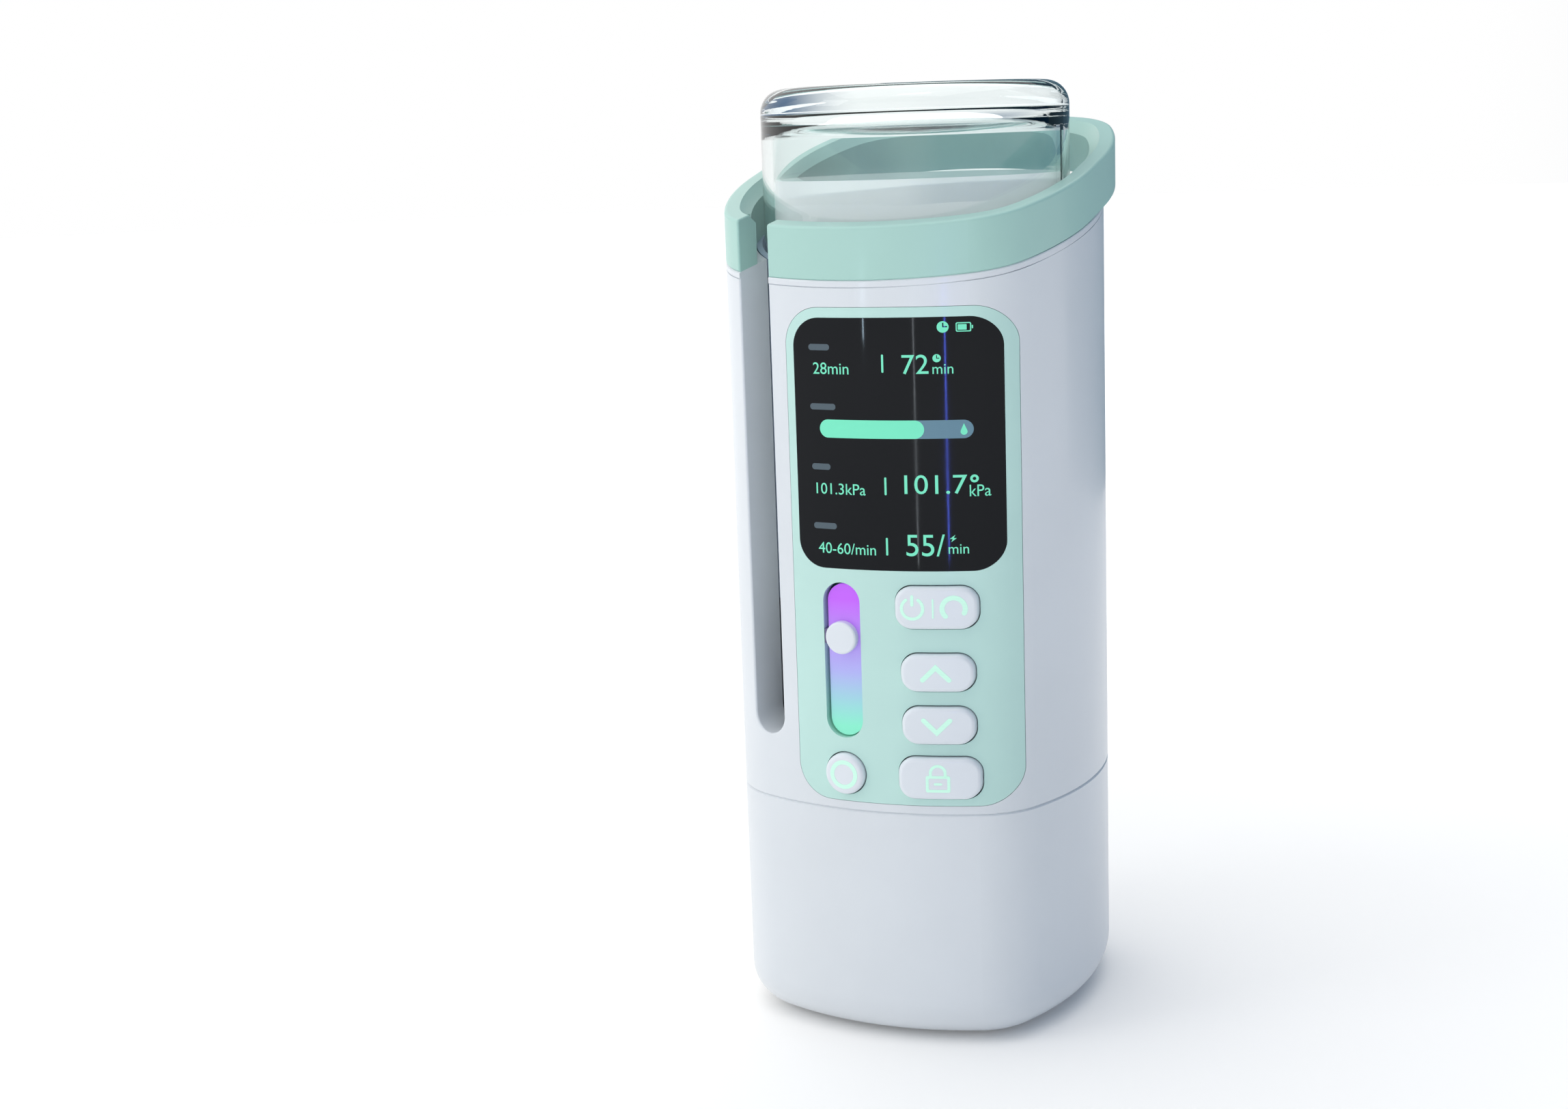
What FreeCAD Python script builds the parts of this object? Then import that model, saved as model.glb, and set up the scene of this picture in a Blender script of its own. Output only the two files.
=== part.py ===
import FreeCAD, Part
import math
import os
import re
import Sketcher
from FreeCAD import Placement, Rotation, Vector

# A portable infusion pump that carries an inverted glass infusion bottle. Millimetres, +Z up,
# front face towards -Y. The origin is on the standing surface, under the middle of the casing.

SIZES = {
    # casing: a crowned rounded rectangle, seen from above
    "body_width": 92.0, "body_depth": 94.4, "front_bow": 76.0, "side_bow": 76.0,
    "corner_radius": 20.8, "wall": 2.4, "seam_height": 60.3, "edge_round": 10.4,
    "foot_proud": 0.8, "foot_recess": 0.8, "foot_inset": 12.0, "floor_thickness": 2.4,
    "fit_gap": 0.3, "seam_chamfer": 0.4,
    # sloping carry collar
    "collar_level": 201.9, "collar_slope": 13.2, "collar_rise": 12.7, "collar_thickness": 6.6,
    "collar_chamfer": 2.6, "collar_overhang": 11.4, "collar_edge": 0.8, "seat_thickness": 1.7,
    "seat_edge": 0.3,
    "peg_radius": 1.3, "peg_drop": 6.0, "peg_turn": 18.9, "clip_clearance": 0.2,
    "pin_side": 1.3, "pin_back": 4.0, "side_pin_radius": 0.9, "clip_thickness": 0.8,
    "clip_radius": 2.47,
    # sight slot beside the panel and hand gap at the rear
    "slot_width": 10.0, "slot_offset": 16.1, "slot_turn": 14.0, "slot_floor": 76.9, "web": 1.6,
    "slot_edge": 0.5,
    "grip_width": 66.0, "grip_floor": 187.0, "grip_corner": 8.0,
    # control panel, screen, keys and slider
    "panel_left": 17.8, "panel_right": 37.7, "panel_low": 62.6, "panel_high": 184.7,
    "panel_corner": 9.0, "panel_flange": 2.0, "flange_thickness": 0.8, "panel_gap": 0.1,
    "screen_left": 15.6, "screen_right": 34.9, "screen_low": 121.3, "screen_high": 182.2,
    "screen_corner": 7.0, "lens_thickness": 1.2, "display_thickness": 1.3, "layer_gap": 0.1,
    "display_margin": 0.3, "board_margin": 4.0, "strip_half": 1.0, "strip_margin": 2.0,
    "strip_thickness": 0.1,
    "key_column": 19.2, "key_gap": 0.3, "key_proud": 1.7, "key_edge": 1.1, "key_travel": 0.7,
    "key_flange": 0.9, "key_flange_thickness": 0.5,
    "power_level": 112.5, "power_width": 19.4, "power_height": 10.4,
    "up_level": 96.4, "down_level": 83.2, "arrow_width": 17.3, "arrow_height": 9.3,
    "lock_level": 69.95, "lock_width": 19.6, "lock_height": 10.5, "key_corner": 4.0,
    "round_level": 69.8, "round_radius": 5.2, "track_column": 4.6,
    "track_low": 78.8, "track_high": 117.9, "track_radius": 4.9, "knob_level": 104.2,
    "knob_radius": 4.05, "knob_proud": 1.3, "knob_depth": 0.8, "guide_depth": 1.0,
    "guide_thickness": 1.6, "blade_thickness": 0.5, "blade_height": 3.6,
    "carriage_thickness": 0.9, "carriage_height": 8.0,
    "board_thickness": 0.5, "switch_thickness": 0.4, "switch_radius": 2.6,
    # inverted bottle, its closure and the well that holds it
    "bottle_radius": 38.8, "bottle_top": 236.5, "glass_wall": 2.75, "glass_base": 6.5,
    "heel_round": 6.0, "punt_rim": 1.5, "punt_depth": 3.6, "base_dome": 4.0, "shoulder_level": 118.0,
    "shoulder_step": 2.0, "neck_radius": 12.8, "neck_wall": 3.4, "bead_radius": 15.2,
    "bead_high": 66.0, "bead_low": 59.2, "liquid_level": 214.0, "liquid_gap": 0.1,
    "stopper_flange": 2.0, "stopper_plug": 66.0, "cap_radius": 15.9, "cap_foil": 0.3,
    "cap_hole": 5.0, "well_clearance": 0.6, "well_wall": 1.5, "well_funnel_low": 76.0,
    "well_funnel_high": 110.0, "well_floor": 2.0, "well_bore": 4.4, "neck_blend": 3.0,
    "bead_slope": 2.0, "cap_tuck": 1.2,
    # deck, case screws and the fluid path
    "deck_low": 51.0, "deck_thickness": 2.5, "pillar_radius": 5.0, "post_radius": 3.9,
    "screw_inset_x": 21.7, "screw_inset_y": 20.8, "screw_radius": 1.5, "screw_clearance": 0.1,
    "screw_head": 2.75, "screw_head_height": 3.0, "screw_seat": 46.0, "screw_length": 22.0,
    "boss_radius": 4.2, "boss_high": 72.0, "access_radius": 3.2,
    "spike_radius": 2.4, "spike_tip": 70.0, "spike_bore": 1.0, "spike_flange": 6.0,
    "spike_flange_thickness": 1.5, "spike_block": 4.0, "spike_low": 40.0, "barb_radius": 1.4,
    "barb_length": 5.0, "spike_point": 4.0, "running": 0.05,
    # peristaltic pump and its gear motor, on one upright axis
    "pump_x": 24.0, "pump_half": 17.0, "pump_leg": 14.0, "pump_floor_low": 35.0,
    "pump_floor": 2.0, "pump_cover_thickness": 2.0, "track_inner": 14.5, "roller_radius": 3.8,
    "roller_orbit": 8.2, "roller_low": 39.7, "roller_height": 6.6, "disc_radius": 11.4,
    "disc_thickness": 2.0, "pin_radius": 1.25, "hub_radius": 3.2, "shaft_radius": 1.5,
    "tube_width": 2.0, "tube_height": 5.0, "tube_gap": 0.3, "leg_end": 18.0,
    "hose_radius": 1.5, "gearbox_radius": 10.0, "gearbox_height": 11.0, "motor_radius": 9.6,
    "motor_pad_height": 0.8, "pump_screw_inset": 2.6, "pump_screw_length": 10.0,
    "pump_screw_sink": 0.4, "roller_play": 0.2, "outlet_grip": 2.0,
    "pump_screw_radius": 1.1, "pump_screw_head": 2.0,
    "sensor_start": 11.0, "sensor_length": 5.0, "sensor_width": 5.4, "outlet_start": 27.5,
    "outlet_radius": 3.0, "outlet_proud": 0.5, "outlet_inset": 12.5,
    # battery, boards and sockets
    "cell_radius": 9.15, "cell_length": 35.0, "cell_x": 26.0, "cell_gap": 0.4, "cradle_wall": 1.4,
    "cradle_lift": 2.0, "board_y": 34.0, "board_depth": 1.6, "board_half": 18.0,
    "board_high": 44.0, "flex_width": 10.0, "flex_thickness": 0.3, "flex_start": 12.0,
    "flex_plug": 42.0, "socket_level": 18.2, "socket_width": 9.0, "socket_height": 3.2,
    "socket_depth": 8.6, "socket_wall": 0.4, "socket_mouth": 6.0,
    "shelf_thickness": 1.2, "shelf_half": 9.0, "shelf_length": 14.0,
    # generous size of a cutting tool that has to pass right through
    "reach": 90.0,
}

doc = FreeCAD.newDocument("infusion_pump")
sheet = doc.addObject("Spreadsheet::Sheet", "Sizes")
for row, (alias, value) in enumerate(SIZES.items(), start=1):
    sheet.set(f"A{row}", alias)
    sheet.set(f"B{row}", str(value))
    sheet.setAlias(f"B{row}", alias)
doc.recompute()

PIECES = []
NAME = re.compile(r"[a-z][a-z_]*")

# places that several pieces share, written once in terms of the sheet
PANEL_BACK = "(wall + panel_gap + flange_thickness)"
KEY_BACK = f"({PANEL_BACK} + layer_gap + key_flange_thickness)"
SWITCH_TOP = f"({KEY_BACK} + key_travel + panel_gap / 2)"
BOARD_TOP = f"({SWITCH_TOP} + switch_thickness)"
BOARD_BACK = f"({BOARD_TOP} + board_thickness)"
DISPLAY_BACK = "(lens_thickness + display_thickness + 2 * layer_gap)"
BASE_FLOOR = "(foot_proud + floor_thickness)"
WELL_BASE = "(deck_low + deck_thickness)"
WELL_INNER = "(bottle_radius + well_clearance)"
WELL_OUTER = f"({WELL_INNER} + well_wall)"
SOCKET_INNER = "(cap_radius + 0.9)"
SCREW_X = "(body_width / 2 - screw_inset_x)"
SCREW_Y = "(body_depth / 2 - screw_inset_y)"
TUBE_OUTER = "(track_inner - tube_gap / 2)"
TUBE_MIDDLE = f"({TUBE_OUTER} - tube_width / 2)"
TUBE_LEVEL = "(roller_low + roller_height / 2)"
COVER_LOW = "(deck_low - pump_cover_thickness)"


def bound(text):
    """The expression with each size's name pointing into the sheet."""
    return NAME.sub(lambda hit: "Sizes." + hit[0] if hit[0] in SIZES else hit[0], str(text))


def value(text):
    """The number that an expression has now."""
    return float(sheet.evalExpression(bound(text)))


def keep(piece, label):
    """Name a finished sub-part."""
    piece.Label = label
    PIECES.append(piece)
    return piece


# ---- sketches ----------------------------------------------------------------------------

def new_body(label):
    body = doc.addObject("PartDesign::Body", label + "_body")
    return keep(body, label)


def sketch(body, role, lift="0", turn=None):
    """A sketch on one of the body's own origin planes, lifted or turned about +Z."""
    drawing = body.newObject("Sketcher::SketchObject", "outline")
    plane = next(item for item in body.Origin.OriginFeatures if item.Role == role)
    drawing.AttachmentSupport = (plane, "")
    drawing.MapMode = "FlatFace"
    if turn:
        drawing.AttachmentOffset = Placement(Vector(), Rotation(Vector(0, 1, 0), 1))
        drawing.setExpression(".AttachmentOffset.Rotation.Angle", bound(turn))
    if lift != "0":
        drawing.setExpression(".AttachmentOffset.Base.z", bound(lift))
    return drawing


def hold(drawing, kind, refs, size):
    """A dimension bound to the sheet."""
    index = drawing.addConstraint(Sketcher.Constraint(kind, *refs, value(size)))
    drawing.setExpression(f"Constraints[{index}]", bound(size))


def hold_point(drawing, item, end, across, up):
    for kind, size, axis in (("DistanceX", across, -2), ("DistanceY", up, -1)):
        if size == "0":
            drawing.addConstraint(Sketcher.Constraint("PointOnObject", item, end, axis))
        else:
            hold(drawing, kind, (-1, 1, item, end), size)


def circle(drawing, across, up, radius):
    centre = Vector(value(across), value(up), 0)
    ring = drawing.addGeometry(Part.Circle(centre, Vector(0, 0, 1), value(radius)))
    hold_point(drawing, ring, 3, across, up)
    hold(drawing, "Radius", (ring,), radius)


def polygon(drawing, corners):
    """A closed outline of straight lines, each corner dimensioned from the origin."""
    spots = [Vector(value(across), value(up), 0) for across, up in corners]
    lines = [drawing.addGeometry(Part.LineSegment(spots[i], spots[(i + 1) % len(spots)]))
             for i in range(len(spots))]
    for i, line in enumerate(lines):
        follower = lines[(i + 1) % len(lines)]
        drawing.addConstraint(Sketcher.Constraint("Coincident", line, 2, follower, 1))
        hold_point(drawing, line, 1, *corners[i])


def rectangle(drawing, left, right, low, high):
    polygon(drawing, [(left, low), (right, low), (right, high), (left, high)])


def arc(drawing, across, up, radius, start, stop):
    rim = Part.Circle(Vector(across, up, 0), Vector(0, 0, 1), radius)
    return drawing.addGeometry(Part.ArcOfCircle(rim, start, stop))


def chain(drawing, items):
    """Join open curves end to start, each tangent to the next."""
    for i, item in enumerate(items):
        follower = items[(i + 1) % len(items)]
        drawing.addConstraint(Sketcher.Constraint("Tangent", item, 2, follower, 1))


def round_box(drawing, left, right, low, high, radius):
    """A rectangle with rounded corners, held by its four corner centres."""
    x0, x1, z0, z1 = value(left), value(right), value(low), value(high)
    round_off, quarter = value(radius), math.pi / 2
    centres = [(x1 - round_off, z0 + round_off, -1), (x1 - round_off, z1 - round_off, 0),
               (x0 + round_off, z1 - round_off, 1), (x0 + round_off, z0 + round_off, 2)]
    arcs = [arc(drawing, x, z, round_off, turn * quarter, (turn + 1) * quarter)
            for x, z, turn in centres]
    lines = []
    for i in range(4):
        start = drawing.getPoint(arcs[i], 2)
        stop = drawing.getPoint(arcs[(i + 1) % 4], 1)
        lines.append(drawing.addGeometry(Part.LineSegment(start, stop)))
    chain(drawing, [item for pair in zip(arcs, lines) for item in pair])
    for line, kind in zip(lines, ("Vertical", "Horizontal", "Vertical", "Horizontal")):
        drawing.addConstraint(Sketcher.Constraint(kind, line))
    for other in arcs[1:]:
        drawing.addConstraint(Sketcher.Constraint("Equal", arcs[0], other))
    hold(drawing, "Radius", (arcs[0],), radius)
    hold_point(drawing, arcs[0], 3, f"({right}) - ({radius})", f"({low}) + ({radius})")
    hold_point(drawing, arcs[2], 3, f"({left}) + ({radius})", f"({high}) - ({radius})")


def stadium(drawing, across, low, high, radius):
    """An upright slot with round ends, whose overall height runs from low to high."""
    x, end = value(across), value(radius)
    z0, z1 = value(low) + end, value(high) - end
    bottom = arc(drawing, x, z0, end, math.pi, 2 * math.pi)
    right = drawing.addGeometry(Part.LineSegment(Vector(x + end, z0, 0), Vector(x + end, z1, 0)))
    top = arc(drawing, x, z1, end, 0, math.pi)
    left = drawing.addGeometry(Part.LineSegment(Vector(x - end, z1, 0), Vector(x - end, z0, 0)))
    chain(drawing, [bottom, right, top, left])
    drawing.addConstraint(Sketcher.Constraint("Equal", bottom, top))
    drawing.addConstraint(Sketcher.Constraint("Vertical", right))
    hold(drawing, "Radius", (bottom,), radius)
    hold_point(drawing, bottom, 3, across, f"({low}) + ({radius})")
    hold(drawing, "DistanceY", (-1, 1, top, 3), f"({high}) - ({radius})")


def outline_centres():
    """The front bow's centre along Y, the right bow's along X and the front right corner's."""
    front, side, corner = value("front_bow"), value("side_bow"), value("corner_radius")
    front_y, side_x = front - value("body_depth / 2"), value("body_width / 2") - side
    # a corner's centre lies one corner radius inside both bows
    span = math.hypot(side_x, front_y)
    along = ((front - corner) ** 2 - (side - corner) ** 2 + span ** 2) / (2 * span)
    off = math.sqrt((front - corner) ** 2 - along ** 2)
    corner_x = along * side_x / span + off * front_y / span
    corner_y = front_y - along * front_y / span + off * side_x / span
    return front_y, side_x, corner_x, corner_y


def casing_outline(drawing, inset="0", stretch="0"):
    """The crowned rounded rectangle of the casing, inset, and drawn out to the rear if wished.

    Four shallow bows joined by four tangent corners. The side bows are split on the cross
    axis, where a straight run of the stretch's length stands between their halves."""
    front, side = value(f"front_bow - {inset}"), value(f"side_bow - {inset}")
    corner, run = value(f"corner_radius - {inset}"), value(stretch)
    half_width = value(f"body_width / 2 - {inset}")
    front_y, side_x, corner_x, corner_y = outline_centres()
    lean = math.atan2(corner_y - front_y, corner_x)
    tilt = math.atan2(corner_y, corner_x - side_x)
    half_turn = math.pi
    front_bow = arc(drawing, 0, front_y, front, -half_turn - lean, lean)
    corner_a = arc(drawing, corner_x, corner_y, corner, lean, tilt)
    right_front = arc(drawing, side_x, 0, side, tilt, 0)
    right_rear = arc(drawing, side_x, run, side, 0, -tilt)
    corner_b = arc(drawing, corner_x, run - corner_y, corner, -tilt, -lean)
    rear_bow = arc(drawing, 0, run - front_y, front, -lean, half_turn + lean)
    corner_c = arc(drawing, -corner_x, run - corner_y, corner, half_turn + lean, half_turn + tilt)
    left_rear = arc(drawing, -side_x, run, side, half_turn + tilt, half_turn)
    left_front = arc(drawing, -side_x, 0, side, half_turn, half_turn - tilt)
    corner_d = arc(drawing, -corner_x, corner_y, corner, half_turn - tilt, half_turn - lean)
    path = [front_bow, corner_a, right_front]
    if run:
        path.append(drawing.addGeometry(Part.LineSegment(
            Vector(half_width, 0, 0), Vector(half_width, run, 0))))
    path += [right_rear, corner_b, rear_bow, corner_c, left_rear]
    if run:
        path.append(drawing.addGeometry(Part.LineSegment(
            Vector(-half_width, run, 0), Vector(-half_width, 0, 0))))
    path += [left_front, corner_d]
    chain(drawing, path)
    for size, items in ((f"front_bow - {inset}", (front_bow, rear_bow)),
                        (f"side_bow - {inset}", (right_front, right_rear, left_rear, left_front)),
                        (f"corner_radius - {inset}", (corner_a, corner_b, corner_c, corner_d))):
        hold(drawing, "Radius", (items[0],), size)
        for other in items[1:]:
            drawing.addConstraint(Sketcher.Constraint("Equal", items[0], other))
    centre_y = "front_bow - body_depth / 2"
    centre_x = "body_width / 2 - side_bow"
    hold_point(drawing, front_bow, 3, "0", centre_y)
    hold_point(drawing, rear_bow, 3, "0", f"{stretch} - ({centre_y})")
    hold_point(drawing, right_front, 3, centre_x, "0")
    hold_point(drawing, left_front, 3, f"-({centre_x})", "0")
    if run:
        hold_point(drawing, right_rear, 3, centre_x, stretch)
        hold_point(drawing, left_rear, 3, f"-({centre_x})", stretch)


# ---- features ----------------------------------------------------------------------------

def pad(body, drawing, length, reverse=False):
    feature = body.newObject("PartDesign::Pad", "pad")
    feature.Profile = drawing
    feature.setExpression("Length", bound(length))
    feature.Reversed = reverse
    return feature


def pocket(body, drawing, length=None, reverse=False, both=False):
    """Cut a sketch out of the body, to a length or right through, on one side or both."""
    feature = body.newObject("PartDesign::Pocket", "pocket")
    feature.Profile = drawing
    feature.Reversed = reverse
    if both:
        feature.SideType = "Symmetric"
    if length:
        feature.setExpression("Length", bound(length))
    else:
        feature.Type = "ThroughAll"
    return feature


def edge_feature(body, kind, size, wanted):
    """A fillet or chamfer on the edges of the body that pass the test."""
    doc.recompute()
    base = body.Tip
    names = [f"Edge{i}" for i, edge in enumerate(base.Shape.Edges, start=1) if wanted(edge)]
    feature = body.newObject("PartDesign::" + kind, kind.lower())
    feature.Base = (base, names)
    feature.setExpression("Radius" if kind == "Fillet" else "Size", bound(size))
    return feature


def at_level(level):
    """A test for flat edges at one height."""
    return lambda edge: abs(edge.BoundBox.ZMin - value(level)) < 1e-4 \
        and abs(edge.BoundBox.ZMax - value(level)) < 1e-4


def cut_above(body, level):
    """Remove everything above the collar's slope, at this level over the body's axis."""
    drawing = sketch(body, "YZ_Plane")
    polygon(drawing, [("-reach", f"{level} - tan(collar_slope) * reach"),
                      ("reach", f"{level} + tan(collar_slope) * reach"),
                      ("reach", f"{level} + reach"), ("-reach", f"{level} + reach")])
    pocket(body, drawing, both=True)


def cut_below(body, level):
    drawing = sketch(body, "YZ_Plane")
    polygon(drawing, [("-reach", f"{level} - tan(collar_slope) * reach"),
                      ("-reach", f"{level} - reach"), ("reach", f"{level} - reach"),
                      ("reach", f"{level} + tan(collar_slope) * reach")])
    pocket(body, drawing, both=True)


def trim_outside(body, inset="0"):
    """Remove whatever stands outside the casing's outline."""
    drawing = sketch(body, "XY_Plane")
    rectangle(drawing, "-reach", "reach", "-reach", "reach")
    casing_outline(drawing, inset)
    pocket(body, drawing, both=True)


def slot_profile(body, grow="0"):
    """The sight slot seen along its own direction: a round floor and an open top."""
    drawing = sketch(body, "XZ_Plane", turn="-slot_turn")
    centre, half = value("-slot_offset"), value(f"slot_width / 2 + {grow}")
    start, top = value("slot_floor + slot_width / 2"), value("slot_floor + 2 * reach")
    floor = arc(drawing, centre, start, half, math.pi, 2 * math.pi)
    corners = [Vector(centre + half, start, 0), Vector(centre + half, top, 0),
               Vector(centre - half, top, 0), Vector(centre - half, start, 0)]
    right, lid, left = [drawing.addGeometry(Part.LineSegment(a, b))
                        for a, b in zip(corners, corners[1:])]
    drawing.addConstraint(Sketcher.Constraint("Tangent", floor, 2, right, 1))
    drawing.addConstraint(Sketcher.Constraint("Tangent", left, 2, floor, 1))
    drawing.addConstraint(Sketcher.Constraint("Coincident", right, 2, lid, 1))
    drawing.addConstraint(Sketcher.Constraint("Coincident", lid, 2, left, 1))
    drawing.addConstraint(Sketcher.Constraint("Vertical", right))
    drawing.addConstraint(Sketcher.Constraint("Horizontal", lid))
    hold(drawing, "Radius", (floor,), f"slot_width / 2 + {grow}")
    hold_point(drawing, floor, 3, "-slot_offset", "slot_floor + slot_width / 2")
    hold(drawing, "DistanceY", (-1, 1, right, 2), "slot_floor + 2 * reach")
    return drawing


def cut_slot(body):
    pocket(body, slot_profile(body), reverse=True)


def grip_profile(body, grow="0"):
    drawing = sketch(body, "XZ_Plane")
    half = f"grip_width / 2 + {grow}"
    round_box(drawing, f"-({half})", half, f"grip_floor - {grow}", "grip_floor + reach",
              f"grip_corner + {grow}")
    return drawing


def cut_circle(body, radius, across="0", up="0"):
    drawing = sketch(body, "XY_Plane")
    circle(drawing, across, up, radius)
    pocket(body, drawing, both=True)


# ---- simple solids -----------------------------------------------------------------------

def set_place(solid, across, back, up, axis="Z"):
    turns = {"Z": Rotation(), "Y": Rotation(Vector(1, 0, 0), -90)}
    solid.Placement = Placement(Vector(), turns[axis])
    for side, text in (("x", across), ("y", back), ("z", up)):
        solid.setExpression(f"Placement.Base.{side}", bound(text))
    return solid


def rod(radius, length, across="0", back="0", up="0", axis="Z"):
    """A round bar that starts at the point given and runs along +Z or +Y."""
    solid = doc.addObject("Part::Cylinder", "rod")
    solid.setExpression("Radius", bound(radius))
    solid.setExpression("Height", bound(length))
    return set_place(solid, across, back, up, axis)


def taper(low_radius, high_radius, length, across, back, up):
    solid = doc.addObject("Part::Cone", "taper")
    solid.setExpression("Radius1", bound(low_radius))
    solid.setExpression("Radius2", bound(high_radius))
    solid.setExpression("Height", bound(length))
    return set_place(solid, across, back, up)


def block(left, right, front, rear, low, high):
    solid = doc.addObject("Part::Box", "block")
    solid.setExpression("Length", bound(f"({right}) - ({left})"))
    solid.setExpression("Width", bound(f"({rear}) - ({front})"))
    solid.setExpression("Height", bound(f"({high}) - ({low})"))
    return set_place(solid, left, front, low)


def fused(*solids):
    joined = doc.addObject("Part::MultiFuse", "joined")
    joined.Shapes = list(solids)
    joined.Refine = True
    return joined


def cut(base, *tools):
    result = doc.addObject("Part::Cut", "cut")
    result.Base = base
    result.Tool = tools[0] if len(tools) == 1 else fused(*tools)
    result.Refine = True
    return result


def group(*solids):
    """Identical loose pieces that share a name."""
    gathered = doc.addObject("Part::Compound", "group")
    gathered.Links = list(solids)
    return gathered


def revolved(label, corners, bulges=None):
    """A turned piece: an outline in the XZ plane, spun about +Z.

    bulges gives, for the corner it starts from, the centre of an arc to the next corner and
    whether it runs anticlockwise; all other runs are straight."""
    body = new_body(label)
    drawing = sketch(body, "XZ_Plane")
    bulges = bulges or {}
    spots = [Vector(value(across), value(up), 0) for across, up in corners]
    items = []
    for i, start in enumerate(spots):
        stop = spots[(i + 1) % len(spots)]
        if i in bulges:
            across, up, anticlockwise = bulges[i]
            centre = Vector(value(across), value(up), 0)
            first, last = (start, stop) if anticlockwise else (stop, start)
            angles = [math.atan2(p.y - centre.y, p.x - centre.x) for p in (first, last)]
            items.append(arc(drawing, centre.x, centre.y, (start - centre).Length, *angles))
        else:
            items.append(drawing.addGeometry(Part.LineSegment(start, stop)))
    for i, item in enumerate(items):
        # an arc drawn clockwise has its ends the other way round
        ends = [(2, 1) if j in bulges and not bulges[j][2] else (1, 2)
                for j in (i, (i + 1) % len(items))]
        drawing.addConstraint(Sketcher.Constraint(
            "Coincident", item, ends[0][1], items[(i + 1) % len(items)], ends[1][0]))
        hold_point(drawing, item, ends[0][0], *corners[i])
        if i in bulges:
            hold(drawing, "DistanceY", (-1, 1, item, 3), bulges[i][1])
    turn = body.newObject("PartDesign::Revolution", "turned")
    turn.Profile = drawing
    turn.ReferenceAxis = (drawing, ["V_Axis"])
    turn.Angle = 360
    return body


# ---- the casing --------------------------------------------------------------------------

def make_base_cup():
    body = new_body("base_cup")
    outer = sketch(body, "XY_Plane", "foot_proud")
    casing_outline(outer)
    pad(body, outer, "seam_height - foot_proud")
    hollow = sketch(body, "XY_Plane", BASE_FLOOR)
    casing_outline(hollow, "wall")
    pocket(body, hollow, f"seam_height - {BASE_FLOOR}", reverse=True)
    edge_feature(body, "Fillet", "edge_round - wall", at_level(BASE_FLOOR))
    edge_feature(body, "Fillet", "edge_round", at_level("foot_proud"))
    for radius, low, high in (("pillar_radius", BASE_FLOOR, "deck_low"),
                              ("post_radius", "deck_low", "seam_height")):
        posts = sketch(body, "XY_Plane", low)
        for across in (f"-{SCREW_X}", SCREW_X):
            for back in (f"-{SCREW_Y}", SCREW_Y):
                circle(posts, across, back, radius)
        pad(body, posts, f"{high} - {low}")
    for radius, high in (("access_radius", "screw_seat"),
                         ("screw_radius + screw_clearance", "seam_height")):
        holes = sketch(body, "XY_Plane")
        for across in (f"-{SCREW_X}", SCREW_X):
            for back in (f"-{SCREW_Y}", SCREW_Y):
                circle(holes, across, back, radius)
        pocket(body, holes, high, reverse=True)
    recess = sketch(body, "XY_Plane")
    casing_outline(recess, "(foot_inset - fit_gap)")
    pocket(body, recess, "foot_proud + foot_recess", reverse=True)
    shelf = sketch(body, "XY_Plane", BASE_FLOOR)
    for side in ("-", ""):
        circle(shelf, f"{side}shelf_half * 2 / 3", "body_depth / 2 - wall - shelf_length / 2",
               "pin_radius * 2")
    pad(body, shelf, f"socket_level - shelf_thickness - {BASE_FLOOR}")
    charge = sketch(body, "XZ_Plane")
    half = "socket_width / 2 + fit_gap"
    rectangle(charge, f"-({half})", half, "socket_level - fit_gap",
              "socket_level + socket_height + fit_gap")
    pocket(body, charge)
    outlet = sketch(body, "XZ_Plane")
    circle(outlet, "body_width / 2 - outlet_inset", TUBE_LEVEL, "outlet_radius + running")
    pocket(body, outlet)
    edge_feature(body, "Chamfer", "seam_chamfer",
                 lambda edge: at_level("seam_height")(edge) and on_outline(edge))


def on_outline(edge):
    """True for an edge that runs along the casing's outer outline."""
    box = edge.BoundBox
    middle = edge.valueAt((edge.FirstParameter + edge.LastParameter) / 2)
    return outline_distance(middle.x, middle.y) < 1e-3 and box.DiagonalLength > 1


def outline_distance(across, back):
    """How far a point lies from the casing's outer outline, seen from above."""
    front_y, side_x, corner_x, corner_y = outline_centres()
    x, y = abs(across), -abs(back)
    return min(abs(math.hypot(x, y - front_y) - value("front_bow")),
               abs(math.hypot(x - side_x, y) - value("side_bow")),
               abs(math.hypot(x - corner_x, y - corner_y) - value("corner_radius")))


def on_slot_rim(edge):
    """True for an outer edge of the sight slot."""
    spot = edge.valueAt((edge.FirstParameter + edge.LastParameter) / 2)
    turn, half = math.radians(value("slot_turn")), value("slot_width / 2")
    across = spot.x * math.cos(turn) - spot.y * math.sin(turn) + value("slot_offset")
    below = min(0.0, spot.z - value("slot_floor") - half)
    return abs(math.hypot(across, below) - half) < 1e-3 and on_outline(edge)


def make_foot_pad():
    body = new_body("foot_pad")
    drawing = sketch(body, "XY_Plane")
    casing_outline(drawing, "foot_inset")
    pad(body, drawing, "foot_proud + foot_recess")


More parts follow.
